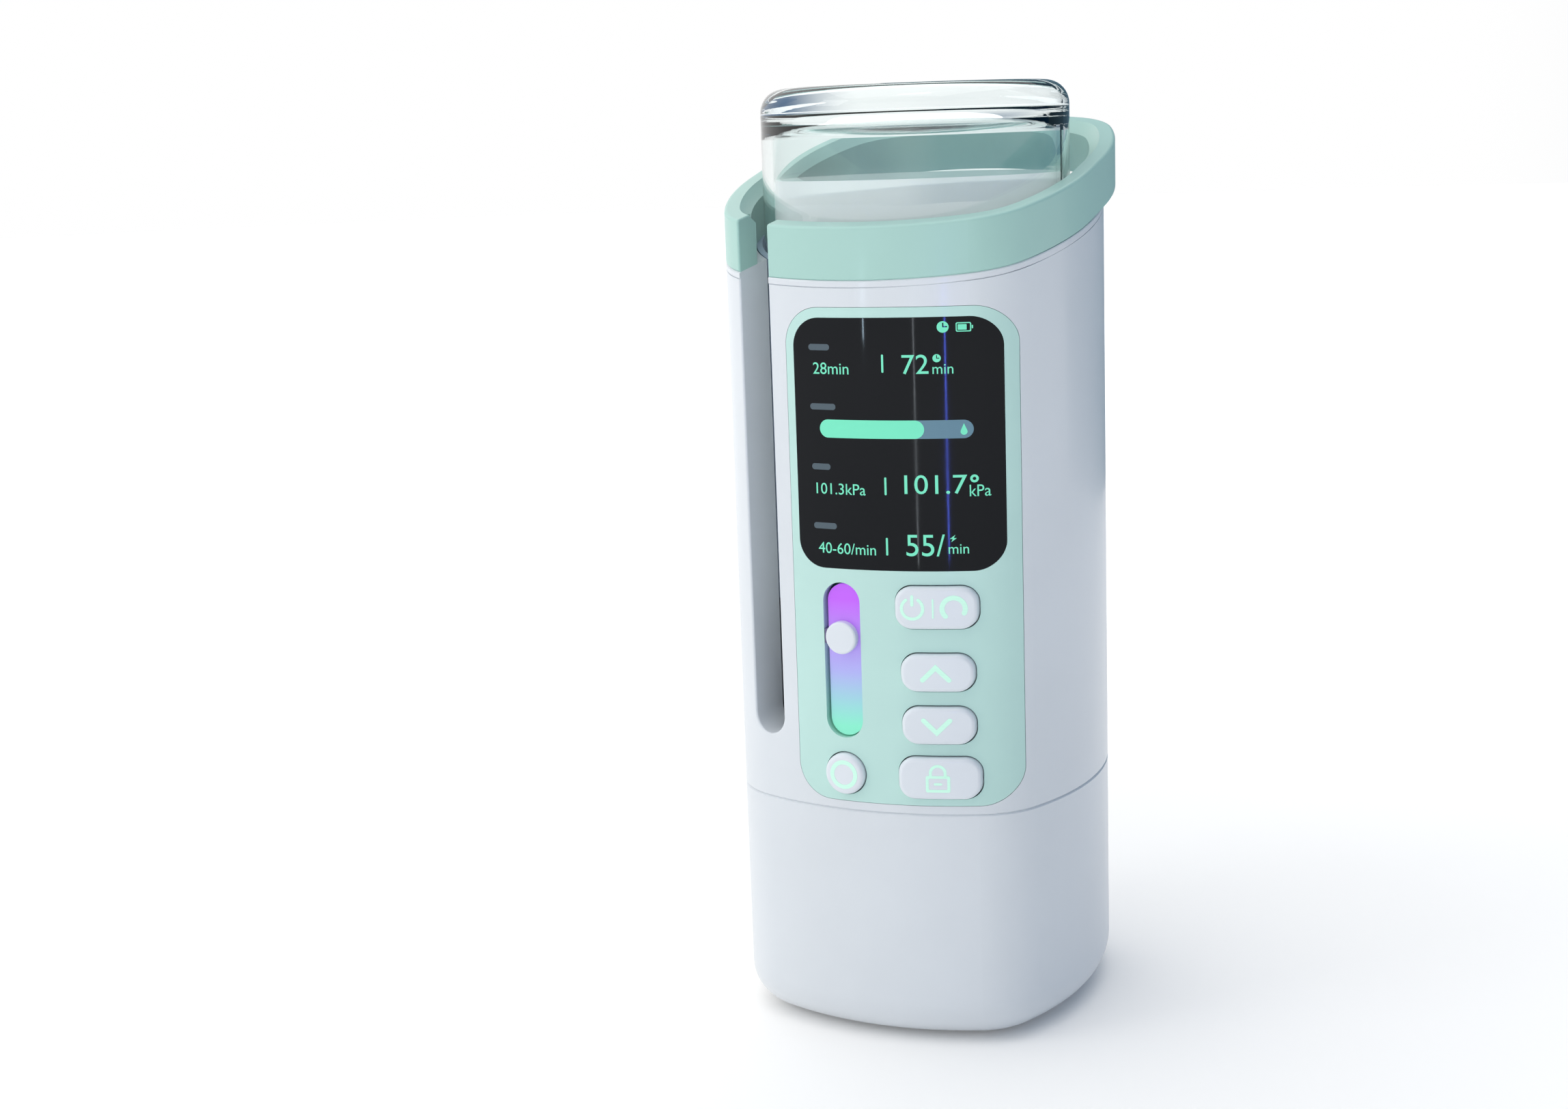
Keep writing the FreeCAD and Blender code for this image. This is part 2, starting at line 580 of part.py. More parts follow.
def make_main_shell():
    """The tall casing, with the webs that line the sight slot and the hand gap."""
    body = new_body("main_shell")
    outer = sketch(body, "XY_Plane", "seam_height")
    casing_outline(outer)
    casing_outline(outer, "wall")
    pad(body, outer, "collar_level + body_depth / 2 - seam_height")
    pad(body, slot_profile(body, "web"), "reach")
    pad(body, grip_profile(body, "web"), "reach", reverse=True)
    bosses = sketch(body, "XY_Plane", "seam_height")
    for across in (f"-{SCREW_X}", SCREW_X):
        for back in (f"-{SCREW_Y}", SCREW_Y):
            circle(bosses, across, back, "boss_radius")
    pad(body, bosses, "boss_high - seam_height")
    # ribs tie each front boss to the one behind it, and both to the side walls
    links = sketch(body, "XY_Plane", "seam_height")
    arms = sketch(body, "XY_Plane", "seam_height")
    for side in ("-", ""):
        near, far = sorted((f"{side}{SCREW_X}", f"{side}(body_width / 2 - wall / 2)"), key=value)
        rectangle(links, f"{side}{SCREW_X} - web / 2", f"{side}{SCREW_X} + web / 2",
                  f"-{SCREW_Y}", SCREW_Y)
        for back in ("0", SCREW_Y):
            rectangle(arms, near, far, f"{back} - web / 2", f"{back} + web / 2")
    pad(body, links, "boss_high - seam_height")
    pad(body, arms, "boss_high - seam_height")
    trim_outside(body)
    well = sketch(body, "XY_Plane", "boss_high")
    circle(well, "0", "0", f"{WELL_OUTER} + fit_gap")
    pocket(body, well, "2 * reach", reverse=True)
    cut_slot(body)
    pocket(body, grip_profile(body))
    holes = sketch(body, "XY_Plane", "seam_height")
    for across in (f"-{SCREW_X}", SCREW_X):
        for back in (f"-{SCREW_Y}", SCREW_Y):
            circle(holes, across, back, "screw_radius")
    pocket(body, holes, "boss_high - seam_height", reverse=True)
    window = sketch(body, "XZ_Plane")
    panel_profile(window, "0")
    pocket(body, window, reverse=True)
    edge_feature(body, "Fillet", "slot_edge", on_slot_rim)
    cut_above(body, "(collar_level - seat_thickness)")
    edge_feature(body, "Chamfer", "seam_chamfer",
                 lambda edge: at_level("seam_height")(edge) and on_outline(edge))


def make_seat_plate():
    """The thin sloping plate that closes the casing's top and carries the collar."""
    body = new_body("seat_plate")
    outer = sketch(body, "XY_Plane", "collar_level - reach / 2")
    casing_outline(outer)
    circle(outer, "0", "0", f"{WELL_OUTER} + fit_gap")
    pad(body, outer, "reach")
    cut_above(body, "collar_level")
    cut_below(body, "(collar_level - seat_thickness)")
    edge_rim(body, "collar_level", max, "Chamfer", "seat_edge")
    edge_rim(body, "(collar_level - seat_thickness)", max, "Chamfer", "seat_edge")
    cut_slot(body)
    pocket(body, grip_profile(body))
    pegs = sketch(body, "XY_Plane")
    for across, back, radius in peg_places() + pin_places():
        circle(pegs, across, back, f"{radius} + running")
    pocket(body, pegs, both=True)


def peg_places():
    """The two pegs in the front corners that clips hold to the seat plate."""
    _, _, corner_x, corner_y = outline_centres()
    outward = "(corner_radius - wall - clip_clearance - clip_radius)"
    across = f"({corner_x} + {outward} * cos(peg_turn))"
    back = f"({corner_y} - {outward} * sin(peg_turn))"
    return [(across, back, "peg_radius"), (f"-{across}", back, "peg_radius")]


def pin_places():
    """The two slim pins beside the well that only locate the collar."""
    across = "(body_width / 2 - wall - pin_side)"
    return [(across, "pin_back", "side_pin_radius"), (f"-{across}", "pin_back", "side_pin_radius")]


def make_carry_collar():
    body = new_body("carry_collar")
    ring = sketch(body, "XY_Plane", "collar_level - reach / 2")
    casing_outline(ring, stretch="collar_overhang")
    casing_outline(ring, "collar_thickness", "collar_overhang")
    pad(body, ring, "reach")
    cut_above(body, "(collar_level + collar_rise)")
    cut_below(body, "collar_level")
    edge_rim(body, "collar_level + collar_rise", min, "Chamfer", "collar_chamfer")
    edge_rim(body, "collar_level + collar_rise", max, "Fillet", "collar_edge")
    edge_rim(body, "collar_level", max, "Chamfer", "seam_chamfer")
    cut_slot(body)
    edge_feature(body, "Fillet", "slot_edge", on_slot_rim)
    pegs = sketch(body, "XY_Plane", "collar_level - peg_drop")
    for across, back, radius in peg_places() + pin_places():
        circle(pegs, across, back, radius)
    pad(body, pegs, "peg_drop + collar_rise / 3")


def edge_rim(body, level, pick, kind, size):
    """Break the outer or inner rim of the sloping face at this level over the axis."""
    doc.recompute()
    face = [face for face in body.Tip.Shape.Faces if is_slope(face, level)][0]
    rim = [edge_key(edge) for edge in pick(face.Wires, key=lambda wire: wire.Length).Edges]
    edge_feature(body, kind, size, lambda edge: edge_key(edge) in rim)


def is_slope(face, level):
    """True for the flat face on the collar's slope at this level over the axis."""
    spot = face.Vertexes[0].Point
    on_plane = abs(spot.z - value(level) - math.tan(math.radians(value("collar_slope"))) * spot.y)
    level_face = isinstance(face.Surface, Part.Plane) and abs(face.normalAt(0, 0).z) > 0.5
    return level_face and on_plane < 1e-4


def edge_key(edge):
    """A key that finds the same edge again in the whole shape."""
    middle = edge.valueAt((edge.FirstParameter + edge.LastParameter) / 2)
    return tuple(round(part, 3) for part in middle)


def make_peg_clips():
    """Push-on retaining washers under the seat plate, one on each peg."""
    clips = []
    for across, back, radius in peg_places():
        # a flat washer under a sloping plate stands off by the slope across its own radius
        low = (f"collar_level - seat_thickness + tan(collar_slope) * ({back} - clip_radius)"
               " - clip_thickness - running")
        washer = rod("clip_radius", "clip_thickness", across, back, low)
        hole = rod(f"{radius} + running", "clip_thickness", across, back, low)
        clips.append(cut(washer, hole))
    keep(group(*clips), "peg_clips")


def make_case_screws():
    screws = []
    for across in (f"-{SCREW_X}", SCREW_X):
        for back in (f"-{SCREW_Y}", SCREW_Y):
            shank = rod("screw_radius", "screw_length", across, back, "screw_seat")
            head = rod("screw_head", "screw_head_height", across, back,
                       "screw_seat - screw_head_height")
            drive = rod("screw_radius", "screw_head_height / 2", across, back,
                        "screw_seat - screw_head_height")
            screws.append(cut(fused(shank, head), drive))
    keep(group(*screws), "case_screws")


# ---- the front: panel, screen, keys and slider ---------------------------------------------

def panel_profile(drawing, shrink):
    round_box(drawing, f"-panel_left + {shrink}", f"panel_right - {shrink}",
              f"panel_low + {shrink}", f"panel_high - {shrink}", f"panel_corner - {shrink}")


def screen_profile(drawing, shrink):
    round_box(drawing, f"-screen_left + {shrink}", f"screen_right - {shrink}",
              f"screen_low + {shrink}", f"screen_high - {shrink}", f"screen_corner - {shrink}")


def keep_layer(body, outer, inner):
    """Keep only what lies between two depths under the casing's front surface."""
    trim_outside(body, outer)
    drawing = sketch(body, "XY_Plane")
    casing_outline(drawing, inner)
    pocket(body, drawing, both=True)


def pad_front(body, draw):
    """Pad an XZ outline from the middle of the body out through its front."""
    drawing = sketch(body, "XZ_Plane")
    draw(drawing)
    pad(body, drawing, "reach")


def cut_front(body, draw):
    drawing = sketch(body, "XZ_Plane")
    draw(drawing)
    pocket(body, drawing, reverse=True)


KEYS = {
    "power_key": ("key_column", "power_level", "power_width", "power_height"),
    "up_key": ("key_column", "up_level", "arrow_width", "arrow_height"),
    "down_key": ("key_column", "down_level", "arrow_width", "arrow_height"),
    "lock_key": ("key_column", "lock_level", "lock_width", "lock_height"),
}


def key_profile(drawing, label, grow):
    if label == "round_key":
        circle(drawing, "-track_column", "round_level", f"round_radius + {grow}")
        return
    column, level, width, height = KEYS[label]
    round_box(drawing, f"{column} - {width} / 2 - ({grow})", f"{column} + {width} / 2 + ({grow})",
              f"{level} - {height} / 2 - ({grow})", f"{level} + {height} / 2 + ({grow})",
              f"key_corner + {grow}")


def make_control_panel():
    """The fascia fits the window in the casing from inside, with a flange behind the wall."""
    body = new_body("control_panel")
    pad_front(body, lambda drawing: panel_profile(drawing, "-panel_flange"))
    trim_outside(body, "(wall + panel_gap)")
    pad_front(body, lambda drawing: panel_profile(drawing, "panel_gap"))
    keep_layer(body, "0", PANEL_BACK)
    cut_front(body, lambda drawing: screen_profile(drawing, "0"))
    for label in [*KEYS, "round_key"]:
        cut_front(body, lambda drawing, label=label: key_profile(drawing, label, "key_gap"))
    cut_front(body, lambda drawing: stadium(drawing, "-track_column", "track_low", "track_high",
                                            "track_radius"))


def make_screen():
    lens = new_body("screen_lens")
    pad_front(lens, lambda drawing: screen_profile(drawing, "panel_gap"))
    keep_layer(lens, "0", "lens_thickness")
    display = new_body("display_module")
    pad_front(display, lambda drawing: screen_profile(drawing, "display_margin"))
    keep_layer(display, "(lens_thickness + layer_gap)",
               "(lens_thickness + layer_gap + display_thickness)")


def trim_bow(body, outer, inner):
    """Keep what lies between two depths under the front bow, carried on past its ends."""
    centre = "front_bow - body_depth / 2"
    shell = sketch(body, "XY_Plane")
    rectangle(shell, "-2 * reach", "2 * reach", "-2 * reach", "2 * reach + front_bow")
    circle(shell, "0", centre, f"front_bow - {outer}")
    pocket(body, shell, both=True)
    if inner:
        core = sketch(body, "XY_Plane")
        circle(core, "0", centre, f"front_bow - {inner}")
        pocket(body, core, both=True)


def make_key(label):
    """A key cap with a rounded crown, and the flange that keeps it behind the panel."""
    body = new_body(label)
    pad_front(body, lambda drawing: key_profile(drawing, label, "key_flange"))
    trim_outside(body, f"({PANEL_BACK} + layer_gap)")
    pad_front(body, lambda drawing: key_profile(drawing, label, "0"))
    trim_bow(body, "(-key_proud)", KEY_BACK)
    crown = value("front_bow + key_proud")
    centre = value("front_bow - body_depth / 2")

    def on_crown(edge):
        middle = edge.valueAt((edge.FirstParameter + edge.LastParameter) / 2)
        return abs(math.hypot(middle.x, middle.y - centre) - crown) < 1e-3

    edge_feature(body, "Fillet", "key_edge", on_crown)


def make_key_switches():
    """One low switch behind each key, standing on the front board."""
    body = new_body("key_switches")
    spots = [(column, level) for column, level, _, _ in KEYS.values()]
    for across, up in [*spots, ("-track_column", "round_level")]:
        pad_front(body, lambda drawing, a=across, u=up: circle(drawing, a, u, "switch_radius"))
    trim_bow(body, SWITCH_TOP, BOARD_TOP)


def make_front_board():
    body = new_body("front_board")
    pad_front(body, lambda drawing: panel_profile(drawing, "board_margin"))
    trim_outside(body, DISPLAY_BACK)
    trim_bow(body, BOARD_TOP, BOARD_BACK)


def make_slider():
    guide = new_body("slider_light_guide")
    shift = "(blade_thickness / 2 + 3 * layer_gap / 2)"
    pad_front(guide, lambda drawing: stadium(
        drawing, f"-track_column + {shift}", f"track_low + {shift} + layer_gap",
        f"track_high - {shift} - layer_gap", f"track_radius - {shift} - layer_gap"))
    trim_bow(guide, "guide_depth", "(guide_depth + guide_thickness)")

    knob = new_body("slider_knob")
    pad_front(knob, lambda drawing: circle(drawing, "-track_column", "knob_level", "knob_radius"))
    trim_bow(knob, "(-knob_proud)", "knob_depth")
    crown = value("front_bow + knob_proud")
    centre = value("front_bow - body_depth / 2")

    def on_crown(edge):
        middle = edge.valueAt((edge.FirstParameter + edge.LastParameter) / 2)
        return abs(math.hypot(middle.x, middle.y - centre) - crown) < 1e-3

    edge_feature(knob, "Fillet", "key_edge / 2", on_crown)
    # a thin blade beside the light guide joins the knob to its carriage behind the panel
    edge = "-track_column - track_radius + layer_gap"
    surface = ("(front_bow - body_depth / 2"
               " - sqrt(pow(front_bow; 2) - pow(track_column + track_radius; 2)))")
    inside = "-track_column - knob_radius / 2"
    blade = sketch(knob, "XY_Plane", "knob_level - blade_height / 2")
    polygon(blade, [(edge, f"{surface} + {PANEL_BACK} + layer_gap"),
                    (edge, f"{surface} + layer_gap"), (inside, f"{surface} + layer_gap"),
                    (inside, f"{surface} + layer_gap + blade_thickness"),
                    (f"{edge} + blade_thickness", f"{surface} + layer_gap + blade_thickness"),
                    (f"{edge} + blade_thickness", f"{surface} + {PANEL_BACK} + layer_gap")])
    pad(knob, blade, "blade_height")

    back = f"{surface} + {PANEL_BACK} + layer_gap"
    keep(block(edge, "-track_column + knob_radius / 2", back, f"{back} + carriage_thickness",
               "knob_level - carriage_height / 2", "knob_level + carriage_height / 2"),
         "slider_carriage")
    strip = new_body("position_strip")
    pad_front(strip, lambda drawing: rectangle(
        drawing, "-track_column - strip_half", "-track_column + strip_half",
        "track_low + strip_margin", "track_high - strip_margin"))
    trim_bow(strip, f"({BOARD_TOP} - strip_thickness)", BOARD_TOP)


# ---- bottle and well -----------------------------------------------------------------------

def make_bottle_well():
    """The liner that holds the inverted bottle: tube, funnel and neck socket in one."""
    top = "collar_level + reach / 2"
    floor = f"{WELL_BASE} + well_floor"
    body = revolved("bottle_well", [
        ("well_bore", WELL_BASE), (f"{SOCKET_INNER} + well_wall", WELL_BASE),
        (f"{SOCKET_INNER} + well_wall", "well_funnel_low - well_wall / 2"),
        (WELL_OUTER, "well_funnel_high - well_wall / 2"), (WELL_OUTER, top), (WELL_INNER, top),
        (WELL_INNER, "well_funnel_high"), (SOCKET_INNER, "well_funnel_low"),
        (SOCKET_INNER, floor), ("well_bore", floor)])
    cut_above(body, "collar_level")
    cut_slot(body)


def make_bottle():
    shoulder_x = "(neck_radius + shoulder_step)"
    neck_top = f"(shoulder_level - bottle_radius + {shoulder_x})"
    punt = "(bottle_radius - heel_round - punt_rim)"
    bore = "(neck_radius - neck_wall)"
    inner = "(bottle_radius - glass_wall)"
    base_edge = f"({inner} - heel_round)"
    punt_bow = f"((pow({punt}; 2) + pow(punt_depth; 2)) / 2 / punt_depth)"
    base_bow = f"((pow({base_edge}; 2) + pow(base_dome; 2)) / 2 / base_dome)"
    revolved("glass_bottle", [
        ("0", "bottle_top - punt_depth"), (punt, "bottle_top"),
        ("bottle_radius - heel_round", "bottle_top"),
        ("bottle_radius", "bottle_top - heel_round"), ("bottle_radius", "shoulder_level"),
        (shoulder_x, neck_top), ("neck_radius", f"{neck_top} - neck_blend"),
        ("neck_radius", "bead_high + bead_slope"), ("bead_radius", "bead_high"),
        ("bead_radius", "bead_low"), (bore, "bead_low"),
        (bore, f"{neck_top} + glass_wall"), (shoulder_x, f"{neck_top} + glass_wall"),
        (inner, "shoulder_level"), (inner, "bottle_top - glass_base - heel_round"),
        (base_edge, "bottle_top - glass_base"), ("0", "bottle_top - glass_base - base_dome")],
        {0: ("0", f"bottle_top - punt_depth + {punt_bow}", True),
         2: ("bottle_radius - heel_round", "bottle_top - heel_round", False),
         4: (shoulder_x, "shoulder_level", False),
         12: (shoulder_x, "shoulder_level", True),
         14: (base_edge, "bottle_top - glass_base - heel_round", True),
         15: ("0", f"bottle_top - glass_base - base_dome + {base_bow}", False)})
    shrunk = f"({inner} - liquid_gap)"
    low = "(stopper_plug + liquid_gap)"
    revolved("infusion_liquid", [
        ("spike_radius + liquid_gap", low), (f"{bore} - liquid_gap", low),
        (f"{bore} - liquid_gap", f"{neck_top} + glass_wall + liquid_gap"),
        (shoulder_x, f"{neck_top} + glass_wall + liquid_gap"), (shrunk, "shoulder_level"),
        (shrunk, "liquid_level"), ("0", "liquid_level"), ("0", "spike_tip + liquid_gap"),
        ("spike_radius + liquid_gap", "spike_tip + liquid_gap")],
        {3: (shoulder_x, "shoulder_level", True)})
    flange_low = "(bead_low - stopper_flange)"
    slit, rim = "(spike_radius + running)", "(bead_radius - cap_tuck / 2)"
    revolved("rubber_stopper", [
        (slit, flange_low), (rim, flange_low), (rim, "bead_low"),
        (f"{bore} - running", "bead_low"), (f"{bore} - running", "stopper_plug"),
        (slit, "stopper_plug")])
    revolved("crimp_cap", [
        ("cap_hole", f"{flange_low} - cap_foil"), ("cap_radius", f"{flange_low} - cap_foil"),
        ("cap_radius", "bead_high + cap_tuck"),
        ("neck_radius + cap_tuck", "bead_high + cap_tuck * 3 / 2"),
        ("neck_radius + cap_tuck", "bead_high + cap_tuck * 3 / 2 - cap_foil"),
        ("cap_radius - cap_foil", "bead_high + cap_tuck - 3 / 2 * cap_foil"),
        ("cap_radius - cap_foil", flange_low), ("cap_hole", flange_low)])
    gasket = rod(f"{SOCKET_INNER} - fit_gap", f"{flange_low} - cap_foil - {WELL_BASE} - well_floor",
                 up=f"{WELL_BASE} + well_floor")
    hole = rod("(spike_radius + well_bore) / 2", "reach", up=WELL_BASE)
    keep(cut(gasket, hole), "neck_gasket")


# ---- deck, spike and pump ------------------------------------------------------------------

def make_deck_plate():
    body = new_body("deck_plate")
    drawing = sketch(body, "XY_Plane", "deck_low")
    casing_outline(drawing, "(wall + fit_gap)")
    pad(body, drawing, "deck_thickness")
    holes = sketch(body, "XY_Plane")
    for across in (f"-{SCREW_X}", SCREW_X):
        for back in (f"-{SCREW_Y}", SCREW_Y):
            circle(holes, across, back, "post_radius + fit_gap")
    circle(holes, "0", "0", "spike_radius + running")
    pocket(body, holes, both=True)
    notch = sketch(body, "XY_Plane")
    rectangle(notch, "-board_half / 2 - 1", "board_half / 2 + 1", "-body_depth",
              "-body_depth / 2 + wall + 5")
    pocket(body, notch, both=True)


def make_spike():
    """The hollow spike that pierces the stopper, with its flange and side barb."""
    tip = "(spike_tip - spike_point)"
    solid = fused(
        rod("spike_radius", f"{tip} - spike_low", up="spike_low"),
        taper("spike_radius", "spike_radius / 2", "spike_point", "0", "0", tip),
        rod("spike_block", "deck_low - spike_low", up="spike_low"),
        rod("spike_flange", "spike_flange_thickness", up="deck_low - spike_flange_thickness"),
        rod("barb_radius", "spike_block + barb_length", "0", "0", TUBE_LEVEL, "Y"))
    bore = rod("spike_bore", "spike_tip", up=TUBE_LEVEL)
    side = rod("spike_bore / 2", "reach", "0", "0", TUBE_LEVEL, "Y")
    keep(cut(solid, bore, side), "piercing_spike")


def make_pump():
    housing = new_body("pump_housing")
    outer = sketch(housing, "XY_Plane", "pump_floor_low")
    rectangle(outer, "pump_x - pump_half", "pump_x + pump_half", "-pump_half", "pump_leg")
    pad(housing, outer, f"{COVER_LOW} - pump_floor_low")
    for draw in (lambda drawing: circle(drawing, "pump_x", "0", "track_inner"),
                 lambda drawing: rectangle(drawing, "pump_x - track_inner",
                                           "pump_x + track_inner", "0", "reach")):
        track = sketch(housing, "XY_Plane", "pump_floor_low + pump_floor")
        draw(track)
        pocket(housing, track, "reach", reverse=True)
    cut_circle(housing, "shaft_radius + running", "pump_x", "0")
    corner = "pump_half - pump_screw_inset"
    holes = sketch(housing, "XY_Plane")
    for side in ("-", "+"):
        circle(holes, f"pump_x {side} ({corner})", f"-({corner})", "pump_screw_radius")
    pocket(housing, holes, both=True)

    cover = new_body("pump_cover")
    plate = sketch(cover, "XY_Plane", COVER_LOW)
    rectangle(plate, "pump_x - pump_half", "pump_x + pump_half", "-pump_half", "pump_leg")
    pad(cover, plate, "pump_cover_thickness")
    holes = sketch(cover, "XY_Plane")
    for side in ("-", "+"):
        circle(holes, f"pump_x {side} ({corner})", f"-({corner})", "pump_screw_head + running")
    pocket(cover, holes, both=True)

    screws = []
    for side in ("-", "+"):
        place = (f"pump_x {side} ({corner})", f"-({corner})")
        head = rod("pump_screw_head", "pump_cover_thickness - pump_screw_sink", *place, COVER_LOW)
        shank = rod("pump_screw_radius", "pump_screw_length", *place,
                    f"{COVER_LOW} - pump_screw_length")
        screws.append(fused(head, shank))
    keep(group(*screws), "pump_screws")

    make_rotor()
    tube = new_body("pump_tube")
    for grow in ("0", "tube_width"):
        drawing = sketch(tube, "XY_Plane", f"{TUBE_LEVEL} - tube_height / 2")
        u_shape(drawing, f"{TUBE_OUTER} - {grow}")
        if grow == "0":
            pad(tube, drawing, "tube_height")
        else:
            pocket(tube, drawing, "tube_height", reverse=True)


def u_shape(drawing, radius):
    """Half a circle towards the front and two legs towards the rear, closed across."""
    centre, size, end = value("pump_x"), value(radius), value("leg_end")
    bend = arc(drawing, centre, 0, size, math.pi, 2 * math.pi)
    spots = [Vector(centre + size, 0, 0), Vector(centre + size, end, 0),
             Vector(centre - size, end, 0), Vector(centre - size, 0, 0)]
    right, top, left = [drawing.addGeometry(Part.LineSegment(a, b))
                        for a, b in zip(spots, spots[1:])]
    drawing.addConstraint(Sketcher.Constraint("Tangent", bend, 2, right, 1))
    drawing.addConstraint(Sketcher.Constraint("Tangent", left, 2, bend, 1))
    drawing.addConstraint(Sketcher.Constraint("Coincident", right, 2, top, 1))
    drawing.addConstraint(Sketcher.Constraint("Coincident", top, 2, left, 1))
    drawing.addConstraint(Sketcher.Constraint("Vertical", right))
    drawing.addConstraint(Sketcher.Constraint("Horizontal", top))
    hold(drawing, "Radius", (bend,), radius)
    hold_point(drawing, bend, 3, "pump_x", "0")
    hold(drawing, "DistanceY", (-1, 1, right, 2), "leg_end")


def roller_place(turn):
    angle = f"({120 * turn})"
    return f"pump_x + roller_orbit * cos{angle}", f"roller_orbit * sin{angle}"


def make_rotor():
    """Two discs on a hub, three pinned rollers between them, and the shaft that drives them."""
    low = "(roller_low - roller_play - disc_thickness)"
    high = "(roller_low + roller_height + roller_play)"
    solid = fused(rod("disc_radius", "disc_thickness", "pump_x", "0", low),
                  rod("hub_radius", f"{high} - {low}", "pump_x", "0", low),
                  rod("disc_radius", "disc_thickness", "pump_x", "0", high))
    bores = [rod("shaft_radius", "reach", "pump_x", "0", low)]
    bores += [rod("pin_radius", "reach", *roller_place(turn), low) for turn in range(3)]
    keep(cut(solid, *bores), "pump_rotor")
    pins = [rod("pin_radius", f"{high} + disc_thickness - {low}", *roller_place(turn), low)
            for turn in range(3)]
    keep(group(*pins), "roller_pins")
    for turn, name in enumerate(("roller_one", "roller_two", "roller_three")):
        place = roller_place(turn)
        roller = rod("roller_radius", "roller_height", *place, "roller_low")
        bore = rod("pin_radius + running", "roller_height", *place, "roller_low")
        keep(cut(roller, bore), name)
    keep(rod("shaft_radius", f"{high} + disc_thickness - pump_floor_low", "pump_x", "0",
             "pump_floor_low"), "drive_shaft")


def make_motor():
    gearbox_low = "(pump_floor_low - gearbox_height)"
    keep(rod("gearbox_radius", "gearbox_height", "pump_x", "0", gearbox_low), "gearbox")
    keep(rod("motor_radius", f"{gearbox_low} - {BASE_FLOOR} - motor_pad_height", "pump_x", "0",
             f"{BASE_FLOOR} + motor_pad_height"), "motor_can")
    keep(rod("motor_radius", "motor_pad_height", "pump_x", "0", BASE_FLOOR), "motor_pad")


def make_fluid_path():
    """The inlet hose turns back from one leg of the pump to the spike's barb, and the outlet
    hose swerves from the other leg to the port."""
    inlet_x = value(f"pump_x - {TUBE_MIDDLE}")
    level, leg = value(TUBE_LEVEL), value("leg_end")
    barb_end = value("spike_block + barb_length")
    bend = inlet_x / 2
    path = Part.Wire([
        Part.LineSegment(Vector(0, barb_end, level), Vector(0, leg, level)).toShape(),
        Part.Arc(Vector(0, leg, level), Vector(bend, leg + bend, level),
                 Vector(inlet_x, leg, level)).toShape()])
    ring = Part.Wire([Part.Circle(Vector(0, barb_end, level), Vector(0, 1, 0),
                                  value("hose_radius")).toShape()])
    hose = doc.addObject("Part::Feature", "inlet_hose")
    hose.Shape = path.makePipeShell([ring], True, True)
    keep(hose, "inlet_hose")

    # two equal bends
    start = Vector(value(f"pump_x + {TUBE_MIDDLE}"), leg, level)
    stop = Vector(value("body_width / 2 - outlet_inset"), value("outlet_start"), level)
    middle = (start + stop) * 0.5
    swerve = Part.Wire([Part.Arc(start, swerve_crest(start, middle), middle).toShape(),
                        Part.Arc(middle, swerve_crest(stop, middle), stop).toShape()])
    ring = Part.Wire([Part.Circle(start, Vector(0, 1, 0), value("hose_radius")).toShape()])
    hose = doc.addObject("Part::Feature", "outlet_hose")
    hose.Shape = swerve.makePipeShell([ring], True, True)
    keep(hose, "outlet_hose")

    half = "sensor_width / 2"
    sensor = block(f"-{half}", half, "sensor_start", "sensor_start + sensor_length",
                   f"{TUBE_LEVEL} - sensor_width", "deck_low")
    passage = rod("hose_radius + running", "reach", "0", "0", TUBE_LEVEL, "Y")
    keep(cut(sensor, passage), "air_sensor")

    outlet = new_body("outlet_fitting")
    port = sketch(outlet, "XZ_Plane", "-outlet_start")
    circle(port, "body_width / 2 - outlet_inset", TUBE_LEVEL, "outlet_radius")
    pad(outlet, port, "body_depth / 2", reverse=True)
    trim_outside(outlet, "(-outlet_proud)")
    bore = sketch(outlet, "XZ_Plane", "-outlet_start - outlet_grip")
    circle(bore, "body_width / 2 - outlet_inset", TUBE_LEVEL, "hose_radius")
    pocket(outlet, bore)


def swerve_crest(end, middle):
    """The middle of the arc that leaves one end along Y and reaches the swerve's middle."""
    across, along = middle.x - end.x, middle.y - end.y
    radius = (across ** 2 + along ** 2) / (2 * across)
    half = math.asin(along / abs(radius)) / 2
    return end + Vector(radius * (1 - math.cos(half)), abs(radius) * math.sin(half), 0)


# ---- battery and boards ----------------------------------------------------------------------

def make_battery():
    first = f"({BASE_FLOOR} + cradle_lift + cradle_wall + cell_radius)"
    second = f"({first} + 2 * cell_radius + cell_gap)"
    cells = []
    for level in (first, second):
        can = rod("cell_radius", "cell_length - 1", "-cell_x", "-cell_length / 2", level, "Y")
        button = rod("cell_radius / 3", "1", "-cell_x", "cell_length / 2 - 1", level, "Y")
        cells.append(fused(can, button))
    keep(group(*cells), "battery_cells")
    half = "(cell_radius + cradle_wall)"
    end = "(cell_length / 2 + cradle_wall)"
    tray = block(f"-cell_x - {half}", f"-cell_x + {half}", f"-{end}", end,
                 f"{BASE_FLOOR} + cradle_lift", second)
    feet = block("-cell_x - cell_radius / 2", "-cell_x + cell_radius / 2", f"-{end}", end,
                 BASE_FLOOR, f"{BASE_FLOOR} + cradle_lift")
    bay = [rod("cell_radius + cell_gap / 2", "cell_length + cell_gap", "-cell_x",
               "-(cell_length + cell_gap) / 2", level, "Y") for level in (first, second)]
    room = block("-cell_x - cell_radius", "-cell_x + cell_radius", "-(cell_length + cell_gap) / 2",
                 "(cell_length + cell_gap) / 2", first, f"{second} + 1")
    keep(cut(fused(tray, feet), *bay, room), "battery_cradle")


# left, right, thickness, low and high of each component on the main board's rear face
COMPONENTS = [(-8, 4, 1.4, 22, 34), (-15, -10, 1.8, 26, 33), (8, 14, 2.2, 12, 18),
              (-14, -4, 3, 8, 13)]
# half width, depth and height of the cable's plug on the front face, and the buzzer's place
PLUG = (9, 1.6, 4)
BUZZER = (4.5, 3, 12, 34)


